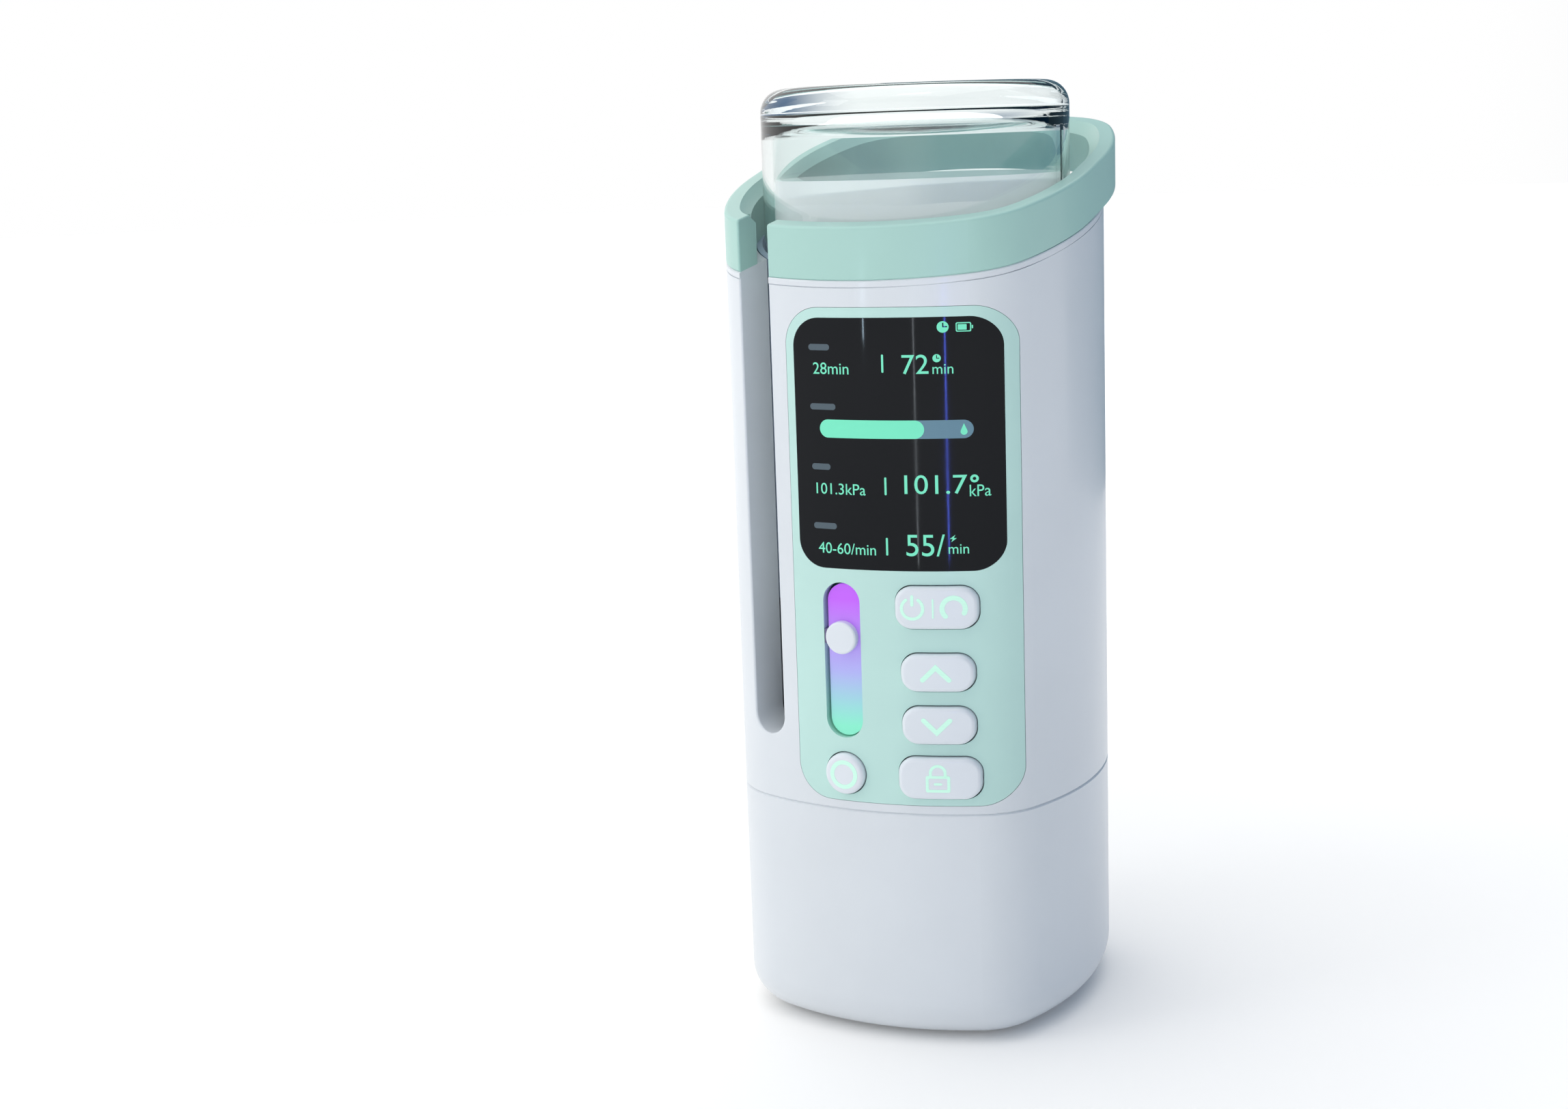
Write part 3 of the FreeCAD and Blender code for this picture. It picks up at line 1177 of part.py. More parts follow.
def make_boards():
    keep(block("-board_half", "board_half", "-board_y", "-board_y + board_depth", BASE_FLOOR,
               "board_high"), "main_board")
    face = "-board_y + board_depth"
    chips = [block(left, right, face, f"{face} + {thick}", low, high)
             for left, right, thick, low, high in COMPONENTS]
    half, depth, tall = PLUG
    plug_face = f"-board_y - {depth}"
    chips.append(block(-half, half, plug_face, "-board_y", f"flex_plug - {tall}", "flex_plug"))
    keep(group(*chips), "board_chips")
    radius, tall, across, up = BUZZER
    keep(rod(radius, tall, across, face, up, "Y"), "buzzer")

    # the flat cable leaves the front board's back, drops through the deck and turns in
    flex = new_body("display_flex")
    front = f"(-(body_depth / 2 - {BOARD_BACK}) + fit_gap)"
    drawing = sketch(flex, "YZ_Plane")
    polygon(drawing, [(front, "panel_low + flex_start"),
                      (f"{front} + flex_thickness", "panel_low + flex_start"),
                      (f"{front} + flex_thickness", "board_high + 3 * flex_thickness"),
                      (plug_face, "flex_plug"), (plug_face, "flex_plug - flex_thickness"),
                      (front, "board_high + 2 * flex_thickness")])
    strip = pad(flex, drawing, "flex_width")
    strip.SideType = "Symmetric"

    rear = "body_depth / 2 - wall - 3 * fit_gap"
    keep(block("-shelf_half", "shelf_half", f"{rear} - shelf_length", rear,
               "socket_level - shelf_thickness", "socket_level"), "charge_board")
    outer = "body_depth / 2 - fit_gap"
    socket = block("-socket_width / 2", "socket_width / 2", f"{outer} - socket_depth", outer,
                   "socket_level", "socket_level + socket_height")
    mouth = block("-socket_width / 2 + socket_wall", "socket_width / 2 - socket_wall",
                  f"{outer} - socket_mouth", outer, "socket_level + socket_wall",
                  "socket_level + socket_height - socket_wall")
    keep(cut(socket, mouth), "charge_socket")


def check_document():
    """Stop if any feature failed or a cut removed nothing."""
    doc.recompute()
    for item in doc.Objects:
        if "Invalid" in item.State or "Error" in item.State:
            raise RuntimeError(f"{item.Label} ({item.TypeId}) failed: {item.State}")
        if item.TypeId == "PartDesign::Pocket":
            before = item.BaseFeature.Shape.Volume
            if item.Shape.Volume > before - 1e-3:
                body = item.getParentGeoFeatureGroup()
                raise RuntimeError(f"{item.Name} in {body.Label} removed nothing")
    for piece in PIECES:
        if piece.Shape.isNull() or not piece.Shape.isValid():
            raise RuntimeError(f"{piece.Label} has no valid shape")


def export_pieces():
    os.makedirs("parts", exist_ok=True)
    for piece in PIECES:
        piece.Shape.exportStep(f"parts/{piece.Label}.step")
        box = piece.Shape.BoundBox
        print(f"{piece.Label:20s} solids {len(piece.Shape.Solids)} volume {piece.Shape.Volume:9.1f}"
              f"  x {box.XMin:6.1f} {box.XMax:6.1f}  y {box.YMin:6.1f} {box.YMax:6.1f}"
              f"  z {box.ZMin:6.1f} {box.ZMax:6.1f}")


make_base_cup()
make_foot_pad()
make_main_shell()
make_seat_plate()
make_carry_collar()
make_peg_clips()
make_case_screws()
make_control_panel()
make_screen()
for key_name in [*KEYS, "round_key"]:
    make_key(key_name)
make_key_switches()
make_front_board()
make_slider()
make_bottle_well()
make_bottle()
make_deck_plate()
make_spike()
make_pump()
make_motor()
make_fluid_path()
make_battery()
make_boards()
check_document()
export_pieces()
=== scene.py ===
"""The looks of a portable infusion pump that holds an inverted bottle, round its CAD model."""

import math

import bmesh
import bpy
from bpy.props import FloatProperty, FloatVectorProperty, PointerProperty
from mathutils import Matrix, Vector
from mathutils.bvhtree import BVHTree


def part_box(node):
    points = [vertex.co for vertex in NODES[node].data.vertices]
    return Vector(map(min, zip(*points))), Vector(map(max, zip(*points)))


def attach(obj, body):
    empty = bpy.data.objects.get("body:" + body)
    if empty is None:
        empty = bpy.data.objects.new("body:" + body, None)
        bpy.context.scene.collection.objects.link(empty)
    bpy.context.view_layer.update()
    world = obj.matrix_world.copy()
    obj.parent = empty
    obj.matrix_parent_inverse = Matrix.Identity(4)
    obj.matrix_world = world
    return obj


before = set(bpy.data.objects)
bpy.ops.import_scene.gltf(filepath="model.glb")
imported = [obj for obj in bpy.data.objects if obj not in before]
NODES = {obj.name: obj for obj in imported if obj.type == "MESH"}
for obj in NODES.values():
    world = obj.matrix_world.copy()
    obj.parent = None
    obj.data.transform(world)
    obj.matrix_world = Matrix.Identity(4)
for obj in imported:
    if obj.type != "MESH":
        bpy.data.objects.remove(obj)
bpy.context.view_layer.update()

bl_info = {
    "name": "Bottle Infusion Pump",
    "version": (1, 0, 0),
    "blender": (4, 5, 0),
    "location": "View3D > Sidebar > Infusion Pump",
    "description": "Finishes, screen readings, key symbols and studio for a bottle infusion pump",
    "category": "Object",
}

MM = 0.001

# a wave texture of scale 1 repeats at this length
WAVE_LENGTH = 0.314
LACQUER_ROUGHNESS = 0.12
SENSOR_WIDTH = 36.0

# readings, units and labels on the screen: text, left, right, low and high edges in millimetres
READINGS = {
    "small_readings": [("28min", -10.2, -0.8, 168.7, 171.5),
                       ("101.3kPa", -10.3, 2.7, 139.6, 142.3),
                       ("40-60/min", -10.2, 4.9, 125.0, 127.7)],
    "large_readings": [("72", 12.35, 18.6, 168.8, 173.4),
                       ("101.7", 12.3, 26.8, 140.1, 144.7),
                       ("55/", 12.4, 21.5, 125.0, 130.3)],
    "unit_readings": [("min", 19.5, 24.2, 168.8, 171.1),
                      ("kPa", 27.3, 31.9, 139.4, 142.2),
                      ("min", 22.3, 26.9, 125.6, 127.9)],
}
DIVIDER = (7.45, 7.95)
DIVIDER_LOWS = (169.2, 139.8, 125.1)
DIVIDER_HEIGHT = 4.3
BAR = (-8.8, 28.45, 153.4, 157.8)
LABEL_LEFT = -11.3
LABEL_HEIGHT = 1.5
# low edge and width of each dim label
LABELS = ((174.4, 5.6), (160.1, 6.8), (145.5, 5.0), (131.0, 6.2))

# studio: place, height and colour of each thin strip light, in metres
STRIP_WIDTH = 0.004
STRIPS = (((0.185, -0.66, 0.075), 0.15, (0.4, 0.6, 3.6)),
          ((0.045, -0.66, 0.075), 0.15, (0.6, 0.65, 0.7)),
          ((-0.17, -0.62, 0.14), 0.04, (1.6, 2.1, 2.5)))
SHADE_CARD_SPOT = (0.16, 0.75, 0.2)
SHADE_CARD_SIZE = (1.0, 1.0)
STUDIO_MIDDLE = (0.0, 0.0, 0.12)
FLOOR_RADIUS = 6.0
# the floor's own light grows between these distances from the pump
FLOOR_NEAR, FLOOR_FAR = 0.15, 1.6
# the room dims towards this direction, between these two steps along it
DIM_TOWARDS = (0.97, 0.12, 0.0)
DIM_START, DIM_FULL = 0.0, 0.58


def colour_property(name, description, default):
    return FloatVectorProperty(name=name, description=description, default=default,
                               subtype="COLOR", size=3, min=0.0, max=1.0)


def length_property(name, description, default):
    return FloatProperty(name=name, description=description, default=default,
                         subtype="DISTANCE", unit="LENGTH", min=0.0, precision=5)


# ---- sizes and colours that a user would change ------------------------------------------

class ShellSettings(bpy.types.PropertyGroup):
    white: colour_property("White", "Colour of the moulded casing", (0.68, 0.72, 0.76))
    mint: colour_property("Mint", "Colour of the carry collar", (0.385, 0.62, 0.565))
    panel: colour_property("Panel", "Colour of the control panel", (0.50, 0.74, 0.69))
    liner: colour_property("Liner", "Colour of the bottle well", (0.40, 0.50, 0.63))
    roughness: FloatProperty(name="Roughness", description="How satin the mouldings are",
                             default=0.34, min=0.0, max=1.0, subtype="FACTOR")
    grain: length_property("Grain", "Size of the moulded grain", 0.35 * MM)


class ScreenSettings(bpy.types.PropertyGroup):
    glass: colour_property("Glass", "Colour of the dark screen glass", (0.007, 0.008, 0.010))
    reading: colour_property("Reading", "Colour of the lit readings", (0.095, 0.43, 0.29))
    label: colour_property("Label", "Colour of the dim labels", (0.043, 0.067, 0.085))
    remaining: colour_property("Remaining", "Colour of the rest of the bar", (0.073, 0.15, 0.20))
    level: FloatProperty(name="Bar level", description="Filled share of the bar",
                         default=0.70, min=0.0, max=1.0, subtype="FACTOR")
    glow: FloatProperty(name="Glow", description="Strength of the lit readings", default=0.9,
                        min=0.0)
    raised: length_property("Raised", "How far readings stand off the glass", 0.05 * MM)


class KeySettings(bpy.types.PropertyGroup):
    cap: colour_property("Cap", "Colour of the key caps", (0.72, 0.765, 0.815))
    symbol: colour_property("Symbol", "Colour of the lit key symbols", (0.50, 0.80, 0.66))
    glow: FloatProperty(name="Glow", description="Strength of the symbols", default=0.25, min=0.0)
    raised: length_property("Raised", "How far a symbol stands off its key", 0.06 * MM)


class SliderSettings(bpy.types.PropertyGroup):
    top: colour_property("Top", "Colour at the top of the lit track", (0.36, 0.075, 0.62))
    middle: colour_property("Middle", "Colour halfway down the lit track", (0.28, 0.29, 0.58))
    low: colour_property("Low", "Colour at the foot of the lit track", (0.16, 0.56, 0.40))
    # painted shade: the dark colour that the knob's blade is painted, standing in for the recess's
    # shade
    painted_groove_shade: colour_property("Groove", "Colour of the blade in the groove", (0.12, 0.10, 0.22))
    glow: FloatProperty(name="Glow", description="Strength of the lit track", default=0.55,
                        min=0.0)


class BottleSettings(bpy.types.PropertyGroup):
    glass: colour_property("Glass", "Tint of the bottle glass", (0.89, 0.95, 0.945))
    # the liquid's tint is also the colour of its painted glow
    liquid: colour_property("Liquid", "Tint of the liquid", (0.93, 0.955, 0.96))


class StudioSettings(bpy.types.PropertyGroup):
    target: FloatVectorProperty(name="Target", description="Point that the camera looks at",
                                default=(-0.0402, 0.0, 0.1142), subtype="TRANSLATION",
                                unit="LENGTH")
    distance: length_property("Distance", "From the target to the camera", 0.5938)
    azimuth: FloatProperty(name="Azimuth", description="Camera turn about the upright axis",
                           default=math.radians(23.905), subtype="ANGLE", unit="ROTATION")
    elevation: FloatProperty(name="Elevation", description="Camera height as an angle",
                             default=math.radians(10.955), subtype="ANGLE", unit="ROTATION")
    roll: FloatProperty(name="Roll", description="Camera tilt about its own line of sight",
                        default=math.radians(-2.046), subtype="ANGLE", unit="ROTATION")
    lens: FloatProperty(name="Lens", description="Focal length in millimetres on a 36 mm sensor",
                        default=50.65, min=1.0)
    floor: colour_property("Floor", "Colour of the floor", (0.945, 0.935, 0.92))
    near_glow: FloatProperty(name="Near glow", description="Floor's own light round the pump",
                             default=0.07, min=0.0)
    far_glow: FloatProperty(name="Far glow", description="Floor's own light far behind it",
                            default=0.5, min=0.0)
    brightness: FloatProperty(name="Brightness", description="Strength of the even room light",
                              default=1.0, min=0.0)
    dim_side: colour_property("Dim side", "Colour of the room on its dimmer side",
                              (0.02, 0.10, 0.22))
    card: colour_property("Card", "Colour of the shade card that the right edge mirrors",
                          (0.10, 0.19, 0.26))
    streak: FloatProperty(name="Streak", description="Strength of the thin strip lights",
                          default=30.0, min=0.0)


# ---- finishes ------------------------------------------------------------------------------

def new_finish(name):
    """A node material, its Principled shader and a maker of further nodes."""
    finish = bpy.data.materials.new(name)
    finish.use_nodes = True
    tree = finish.node_tree
    shader = tree.nodes["Principled BSDF"]

    def add(kind, **settings):
        node = tree.nodes.new("ShaderNode" + kind)
        for key, setting in settings.items():
            if hasattr(node, key):
                setattr(node, key, setting)
            else:
                node.inputs[key.replace("_", " ")].default_value = setting
        return node

    return finish, shader, add, tree.links.new


def set_shader(shader, **settings):
    for key, setting in settings.items():
        socket = shader.inputs[key.replace("_", " ")]
        if socket.type == "RGBA":
            setting = (*setting, 1.0)
        socket.default_value = setting


def shade(colour, factor):
    return tuple(min(1.0, part * factor) for part in colour)


def ramp(add, link, source, stops):
    node = add("ValToRGB")
    elements = node.color_ramp.elements
    while len(elements) < len(stops):
        elements.new(0.5)
    for element, (place, colour) in zip(elements, stops):
        element.position = place
        element.color = (*colour, 1.0)
    link(source, node.inputs["Fac"])
    return node.outputs["Color"]


def spread(add, link, source, low, high, start=0.3, stop=0.7):
    node = add("MapRange")
    for socket, setting in zip(("From Min", "From Max", "To Min", "To Max"),
                               (start, stop, low, high)):
        node.inputs[socket].default_value = setting
    link(source, node.inputs["Value"])
    return node.outputs["Result"]


def bump(add, link, shader, source, depth, strength=1.0):
    node = add("Bump", Strength=strength, Distance=depth)
    link(source, node.inputs["Height"])
    link(node.outputs["Normal"], shader.inputs["Normal"])


def moulded(name, colour, roughness, grain, depth=0.006 * MM, mottle=0.03, coat=0.0, **extra):
    """Moulded plastic: faint mottling, uneven gloss and a fine spark-eroded grain."""
    finish, shader, add, link = new_finish(name)
    set_shader(shader, Coat_Weight=coat, Coat_Roughness=LACQUER_ROUGHNESS, **extra)
    place = add("TexCoord").outputs["Object"]
    clouds = add("TexNoise", Scale=22.0, Detail=3.0)
    grains = add("TexNoise", Scale=1.0 / grain, Detail=2.0)
    for texture in (clouds, grains):
        link(place, texture.inputs["Vector"])
    link(ramp(add, link, clouds.outputs["Fac"],
              [(0.3, shade(colour, 1.0 - mottle)), (0.7, shade(colour, 1.0 + mottle))]),
         shader.inputs["Base Color"])
    link(spread(add, link, clouds.outputs["Fac"], roughness - 0.03, roughness + 0.03),
         shader.inputs["Roughness"])
    bump(add, link, shader, grains.outputs["Fac"], depth)
    return finish


def turned(name, colour, roughness, lines, axis=2):
    """Metal with fine tool lines round or along one axis."""
    finish, shader, add, link = new_finish(name)
    set_shader(shader, Metallic=1.0)
    place = add("TexCoord").outputs["Object"]
    stretch = add("Mapping")
    scale = [40.0, 40.0, 40.0]
    scale[axis] = lines
    stretch.inputs["Scale"].default_value = scale
    streaks = add("TexNoise", Scale=1.0, Detail=3.0)
    link(place, stretch.inputs["Vector"])
    link(stretch.outputs["Vector"], streaks.inputs["Vector"])
    link(ramp(add, link, streaks.outputs["Fac"],
              [(0.3, shade(colour, 0.86)), (0.7, shade(colour, 1.1))]), shader.inputs["Base Color"])
    link(spread(add, link, streaks.outputs["Fac"], roughness - 0.06, roughness + 0.08),
         shader.inputs["Roughness"])
    bump(add, link, shader, streaks.outputs["Fac"], 0.01 * MM, 0.6)
    return finish


def printed_board(name, colour, trace):
    """A circuit board: solder mask over faint traces."""
    finish, shader, add, link = new_finish(name)
    set_shader(shader, Coat_Weight=0.3, Coat_Roughness=0.2)
    place = add("TexCoord").outputs["Object"]
    traces = add("TexBrick", Scale=260.0, Mortar_Size=0.012, Brick_Width=0.9, Row_Height=0.22)
    traces.inputs["Color1"].default_value = (*colour, 1.0)
    traces.inputs["Color2"].default_value = (*shade(colour, 1.25), 1.0)
    traces.inputs["Mortar"].default_value = (*trace, 1.0)
    turn = add("Mapping")
    turn.inputs["Rotation"].default_value = (math.pi / 2, 0.0, 0.0)
    link(place, turn.inputs["Vector"])
    link(turn.outputs["Vector"], traces.inputs["Vector"])
    link(traces.outputs["Color"], shader.inputs["Base Color"])
    link(spread(add, link, traces.outputs["Fac"], 0.35, 0.5, 0.0, 1.0), shader.inputs["Roughness"])
    bump(add, link, shader, traces.outputs["Fac"], 0.03 * MM, 0.5)
    return finish


def clear(name, tint, ior, ripple, clearness=1.0, glow=0.0):
    """Clear glass or liquid with a very slight ripple in its surface; with glow above nought it
    also gets a painted glow of its own in its tint.
    """
    finish, shader, add, link = new_finish(name)
    set_shader(shader, Transmission_Weight=clearness, IOR=ior, Roughness=0.0,
               Emission_Color=tint, Emission_Strength=glow)
    place = add("TexCoord").outputs["Object"]
    waves = add("TexNoise", Scale=28.0, Detail=1.0)
    link(place, waves.inputs["Vector"])
    link(ramp(add, link, waves.outputs["Fac"], [(0.3, tint), (0.7, shade(tint, 1.015))]),
         shader.inputs["Base Color"])
    bump(add, link, shader, waves.outputs["Fac"], ripple)
    return finish


def lit(name, colour, glow, pitch):
    """A lit display element, drawn in fine rows of dots."""
    finish, shader, add, link = new_finish(name)
    set_shader(shader, Roughness=0.45, Emission_Strength=glow)
    rows = add("TexWave", bands_direction="Z", Scale=WAVE_LENGTH / pitch, Distortion=0.0)
    link(add("TexCoord").outputs["Object"], rows.inputs["Vector"])
    tones = ramp(add, link, rows.outputs["Fac"],
                 [(0.0, shade(colour, 0.93)), (1.0, shade(colour, 1.05))])
    link(tones, shader.inputs["Base Color"])
    link(tones, shader.inputs["Emission Color"])
    return finish


def dress(finish, *nodes):
    """Give CAD nodes a finish in place of their plain one."""
    for node in nodes:
        for slot in NODES[node].material_slots:
            slot.material = finish


# ---- flat shapes laid on a curved face -------------------------------------------------------

def arc_points(across, up, radius, start, stop, steps=40):
    angles = [math.radians(start + (stop - start) * i / steps) for i in range(steps + 1)]
    return [(across + radius * math.cos(a), up + radius * math.sin(a)) for a in angles]


def ring(across, up, radius, steps=48):
    return arc_points(across, up, radius, 0, 360, steps)[:-1]


def round_bar(left, right, low, high, corner):
    loop = []
    for x, z, start in ((right - corner, high - corner, 0), (left + corner, high - corner, 90),
                        (left + corner, low + corner, 180), (right - corner, low + corner, 270)):
        loop += arc_points(x, z, corner, start, start + 90, 10)
    return loop


def stroke(points, width, cap=6):
    """The outline of a pen line of that width with round ends."""
    path = [Vector(point) for point in points]
    sides = []
    for i, spot in enumerate(path):
        before = (spot - path[i - 1]).normalized() if i else None
        after = (path[i + 1] - spot).normalized() if i + 1 < len(path) else None
        along = (before or after) + (after or before)
        along.normalize()
        normal = Vector((-along.y, along.x))
        leading = after or before
        reach = width / 2 / max(0.35, normal.dot(Vector((-leading.y, leading.x))))
        sides.append((spot + normal * reach, spot - normal * reach, along))
    loop = [side[0] for side in sides]
    for end, (spot, (_, _, along)) in enumerate(((path[-1], sides[-1]), (path[0], sides[0]))):
        forward = along if end == 0 else -along
        tilt = math.atan2(forward.y, forward.x)
        loop += [spot + Vector((math.cos(tilt + a), math.sin(tilt + a))) * width / 2
                 for a in (math.pi / 2 - math.pi * (i + 1) / (cap + 1) for i in range(cap))]
        if end == 0:
            loop += [side[1] for side in reversed(sides)]
    return [tuple(spot) for spot in loop]


def flat_mesh(name, loops):
    """A filled plate from closed loops, where an inner loop is a hole."""
    curve = bpy.data.curves.new(name, "CURVE")
    curve.dimensions = "2D"
    curve.fill_mode = "BOTH"
    curve.extrude = 0.5
    for loop in loops:
        spline = curve.splines.new("POLY")
        spline.points.add(len(loop) - 1)
        for point, (x, z) in zip(spline.points, loop):
            point.co = (x, z, 0.0, 1.0)
        spline.use_cyclic_u = True
    return curve_to_mesh(name, curve)


def curve_to_mesh(name, curve):
    holder = bpy.data.objects.new(name + "_holder", curve)
    bpy.context.scene.collection.objects.link(holder)
    bpy.context.view_layer.update()
    mesh = bpy.data.meshes.new_from_object(holder.evaluated_get(
        bpy.context.evaluated_depsgraph_get()))
    bpy.data.objects.remove(holder)
    return mesh


def text_mesh(name, text, left, right, low, high):
    """Figures as a plate, fitted to a box in millimetres."""
    curve = bpy.data.curves.new(name, "FONT")
    curve.body = text
    curve.extrude = 0.5
    curve.resolution_u = 5
    mesh = curve_to_mesh(name, curve)
    xs = [v.co.x for v in mesh.vertices]
    ys = [v.co.y for v in mesh.vertices]
    for v in mesh.vertices:
        v.co.x = left + (v.co.x - min(xs)) / (max(xs) - min(xs)) * (right - left)
        v.co.y = low + (v.co.y - min(ys)) / (max(ys) - min(ys)) * (high - low)
    return mesh


class Face:
    """The front face of a CAD node, as the surface that a flat shape is laid on."""

    def __init__(self, node):
        mesh = NODES[node].data
        self.tree = BVHTree.FromPolygons([v.co for v in mesh.vertices],
                                         [p.vertices for p in mesh.polygons])

    def at(self, across, up):
        spot, normal, _, _ = self.tree.ray_cast(Vector((across, -1.0, up)), Vector((0, 1, 0)))
        if spot is None:
            raise RuntimeError(f"nothing to lay a shape on at {across:.4f}, {up:.4f}")
        return spot, normal


def lay(mesh, face, raised, sunk=0.02 * MM, strip=1.5):
    """Cut a plate into strips, so that it can bend, and wrap it on a face."""
    work = bmesh.new()
    work.from_mesh(mesh)
    left = min(v.co.x for v in work.verts)
    right = max(v.co.x for v in work.verts)
    for i in range(1, int((right - left) / strip) + 1):
        bmesh.ops.bisect_plane(work, geom=work.verts[:] + work.edges[:] + work.faces[:],
                               plane_co=(left + i * strip, 0, 0), plane_no=(1, 0, 0), dist=1e-5)
    bmesh.ops.remove_doubles(work, verts=work.verts, dist=1e-4)
    for v in work.verts:
        spot, normal = face.at(v.co.x * MM, v.co.y * MM)
        v.co = spot + normal * (raised if v.co.z > 0 else -sunk)
    bmesh.ops.recalc_face_normals(work, faces=work.faces[:])
    work.to_mesh(mesh)
    work.free()
    return mesh


def join(name, meshes, body, finish):
    """One piece from several meshes, riding on a CAD body."""
    work = bmesh.new()
    for mesh in meshes:
        work.from_mesh(mesh)
        bpy.data.meshes.remove(mesh)
    whole = bpy.data.meshes.new(name)
    work.to_mesh(whole)
    work.free()
    whole.materials.append(finish)
    piece = bpy.data.objects.new(name, whole)
    bpy.context.scene.collection.objects.link(piece)
    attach(piece, body)
    return piece


# ---- the pieces -------------------------------------------------------------------------------

class PUMP_OT_shell(bpy.types.Operator):
    """Give the casing, collar, panel and bottle well their moulded finishes"""
    bl_idname = "pump.shell"
    bl_label = "Shell finishes"

    def execute(self, context):
        look = context.scene.pump_shell
        white = moulded("white_satin", look.white, look.roughness, look.grain, coat=0.25)
        dress(white, "base_cup", "main_shell", "seat_plate")
        dress(moulded("mint_satin", look.mint, look.roughness + 0.04, look.grain, coat=0.15),
              "carry_collar")
        dress(moulded("panel_satin", look.panel, look.roughness + 0.1, look.grain, coat=0.1),
              "control_panel")
        dress(moulded("liner_satin", look.liner, look.roughness - 0.04, look.grain, coat=0.2),
              "bottle_well")
        return {"FINISHED"}


class PUMP_OT_screen(bpy.types.Operator):
    """Build the dark screen glass with its readings, labels, bar and small symbols"""
    bl_idname = "pump.screen"
    bl_label = "Screen"

    def execute(self, context):
        look = context.scene.pump_screen
        glass = moulded("screen_glass", look.glass, 0.05, 1.2 * MM, depth=0.001 * MM,
                        mottle=0.08, Specular_IOR_Level=0.12)
        dress(glass, "screen_lens")
        face = Face("screen_lens")
        lit_finish = lit("screen_lit", look.reading, look.glow, 0.18 * MM)

        def piece(name, meshes, finish, raised=look.raised):
            return join(name, [lay(mesh, face, raised) for mesh in meshes], "body",
                        finish)

        for name, rows in READINGS.items():
            piece(name, [text_mesh(name, *row) for row in rows], lit_finish)

        piece("reading_dividers",
              [flat_mesh("divider", [round_bar(*DIVIDER, low, low + DIVIDER_HEIGHT, 0.2)])
               for low in DIVIDER_LOWS], lit_finish)

        symbols = [
            # clock face with its hands cut out, beside the battery
            [ring(22.0, 179.8, 1.35), [(21.9, 179.7), (23.0, 179.7), (23.0, 180.0),
                                       (22.2, 180.0), (22.2, 180.8), (21.9, 180.8)]],
            # battery outline, its charge and its contact
            [round_bar(24.9, 28.3, 178.6, 180.8, 0.35),
             round_bar(25.15, 28.05, 178.85, 180.55, 0.2)],
            [round_bar(25.35, 27.3, 179.05, 180.35, 0.12)],
            [round_bar(28.4, 28.7, 179.3, 180.1, 0.1)],
            # small clock, dial and bolt by the three large readings
            [ring(20.5, 172.5, 0.95), [(20.4, 172.4), (21.1, 172.4), (21.1, 172.6),
                                       (20.6, 172.6), (20.6, 173.2), (20.4, 173.2)]],
            [ring(28.4, 143.7, 0.95), ring(28.4, 143.7, 0.4, 20)],
            [[(23.9, 130.2), (22.6, 129.2), (23.3, 129.2), (22.9, 128.4),
              (24.2, 129.4), (23.5, 129.4)]],
        ]
        piece("screen_symbols", [flat_mesh("symbol", loops) for loops in symbols], lit_finish)

        left, right, low, high = BAR
        radius = (high - low) / 2
        rest = lit("bar_rest", look.remaining, look.glow * 0.6, 0.18 * MM)
        piece("bar_track", [flat_mesh("track", [round_bar(*BAR, radius)])], rest)
        filled = left + (right - left) * look.level
        piece("bar_fill", [flat_mesh("fill", [round_bar(left, filled, low, high, radius)])],
              lit_finish, look.raised * 2)
        drop = [(26.3, 157.0)] + arc_points(26.3, 155.0, 0.78, 20, -200, 20)
        piece("bar_drop", [flat_mesh("drop", [drop])], lit_finish, look.raised * 2)

        labels = lit("screen_labels", look.label, look.glow * 0.5, 0.18 * MM)
        rows = [flat_mesh("label", [round_bar(LABEL_LEFT, LABEL_LEFT + wide, low,
                                              low + LABEL_HEIGHT, 0.7)]) for low, wide in LABELS]
        piece("dim_labels", rows, labels)
        return {"FINISHED"}


class PUMP_OT_keys(bpy.types.Operator):
    """Finish the five keys and raise a lit symbol on each"""
    bl_idname = "pump.keys"
    bl_label = "Keys"

    def execute(self, context):
        look = context.scene.pump_keys
        cap = moulded("key_satin", look.cap, 0.36, 0.3 * MM, coat=0.2)
        dress(cap, "power_key", "up_key", "down_key", "lock_key", "round_key")
        symbol = lit("key_symbol", look.symbol, look.glow, 0.3 * MM)

        def middle(node):
            low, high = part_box(node)
            return (low.x + high.x) / 2 / MM, (low.z + high.z) / 2 / MM

        def chevron(x, z, rise):
            return [stroke([(x - 3.1, z - rise), (x, z + rise), (x + 3.1, z - rise)], 1.15)]

        x, z = middle("power_key")
        drawings = {"power_key": [
            [stroke(arc_points(x - 5.2, z, 2.55, 125, 415), 0.75)],
            [stroke([(x - 5.2, z + 0.9), (x - 5.2, z + 2.95)], 0.75)],
            [stroke([(x - 0.3, z - 2.2), (x - 0.3, z + 2.2)], 0.4)],
            [stroke(arc_points(x + 4.5, z, 2.65, -25, 225), 1.15)]]}
        x, z = middle("up_key")
        drawings["up_key"] = [chevron(x, z, 1.55)]
        x, z = middle("down_key")
        drawings["down_key"] = [chevron(x, z, -1.55)]
        x, z = middle("lock_key")
        drawings["lock_key"] = [
            [round_bar(x - 2.9, x + 2.9, z - 3.3, z + 0.9, 0.5),
             round_bar(x - 2.2, x + 2.2, z - 2.6, z + 0.2, 0.25)],
            [stroke([(x - 1.75, z + 0.7), (x - 1.75, z + 1.6),
                     *arc_points(x, z + 1.6, 1.75, 180, 0, 24)[1:-1],
                     (x + 1.75, z + 1.6), (x + 1.75, z + 0.7)], 0.7)],
            [stroke([(x - 0.7, z - 1.2), (x + 0.7, z - 1.2)], 0.6)]]
        x, z = middle("round_key")
        drawings["round_key"] = [[ring(x, z, 3.65), ring(x, z, 2.6)]]
        for node, shapes in drawings.items():
            face = Face(node)
            join(node.replace("key", "symbol"),
                 [lay(flat_mesh(node + "_shape", loops), face, look.raised) for loops in shapes],
                 node + "_cap", symbol)
        return {"FINISHED"}


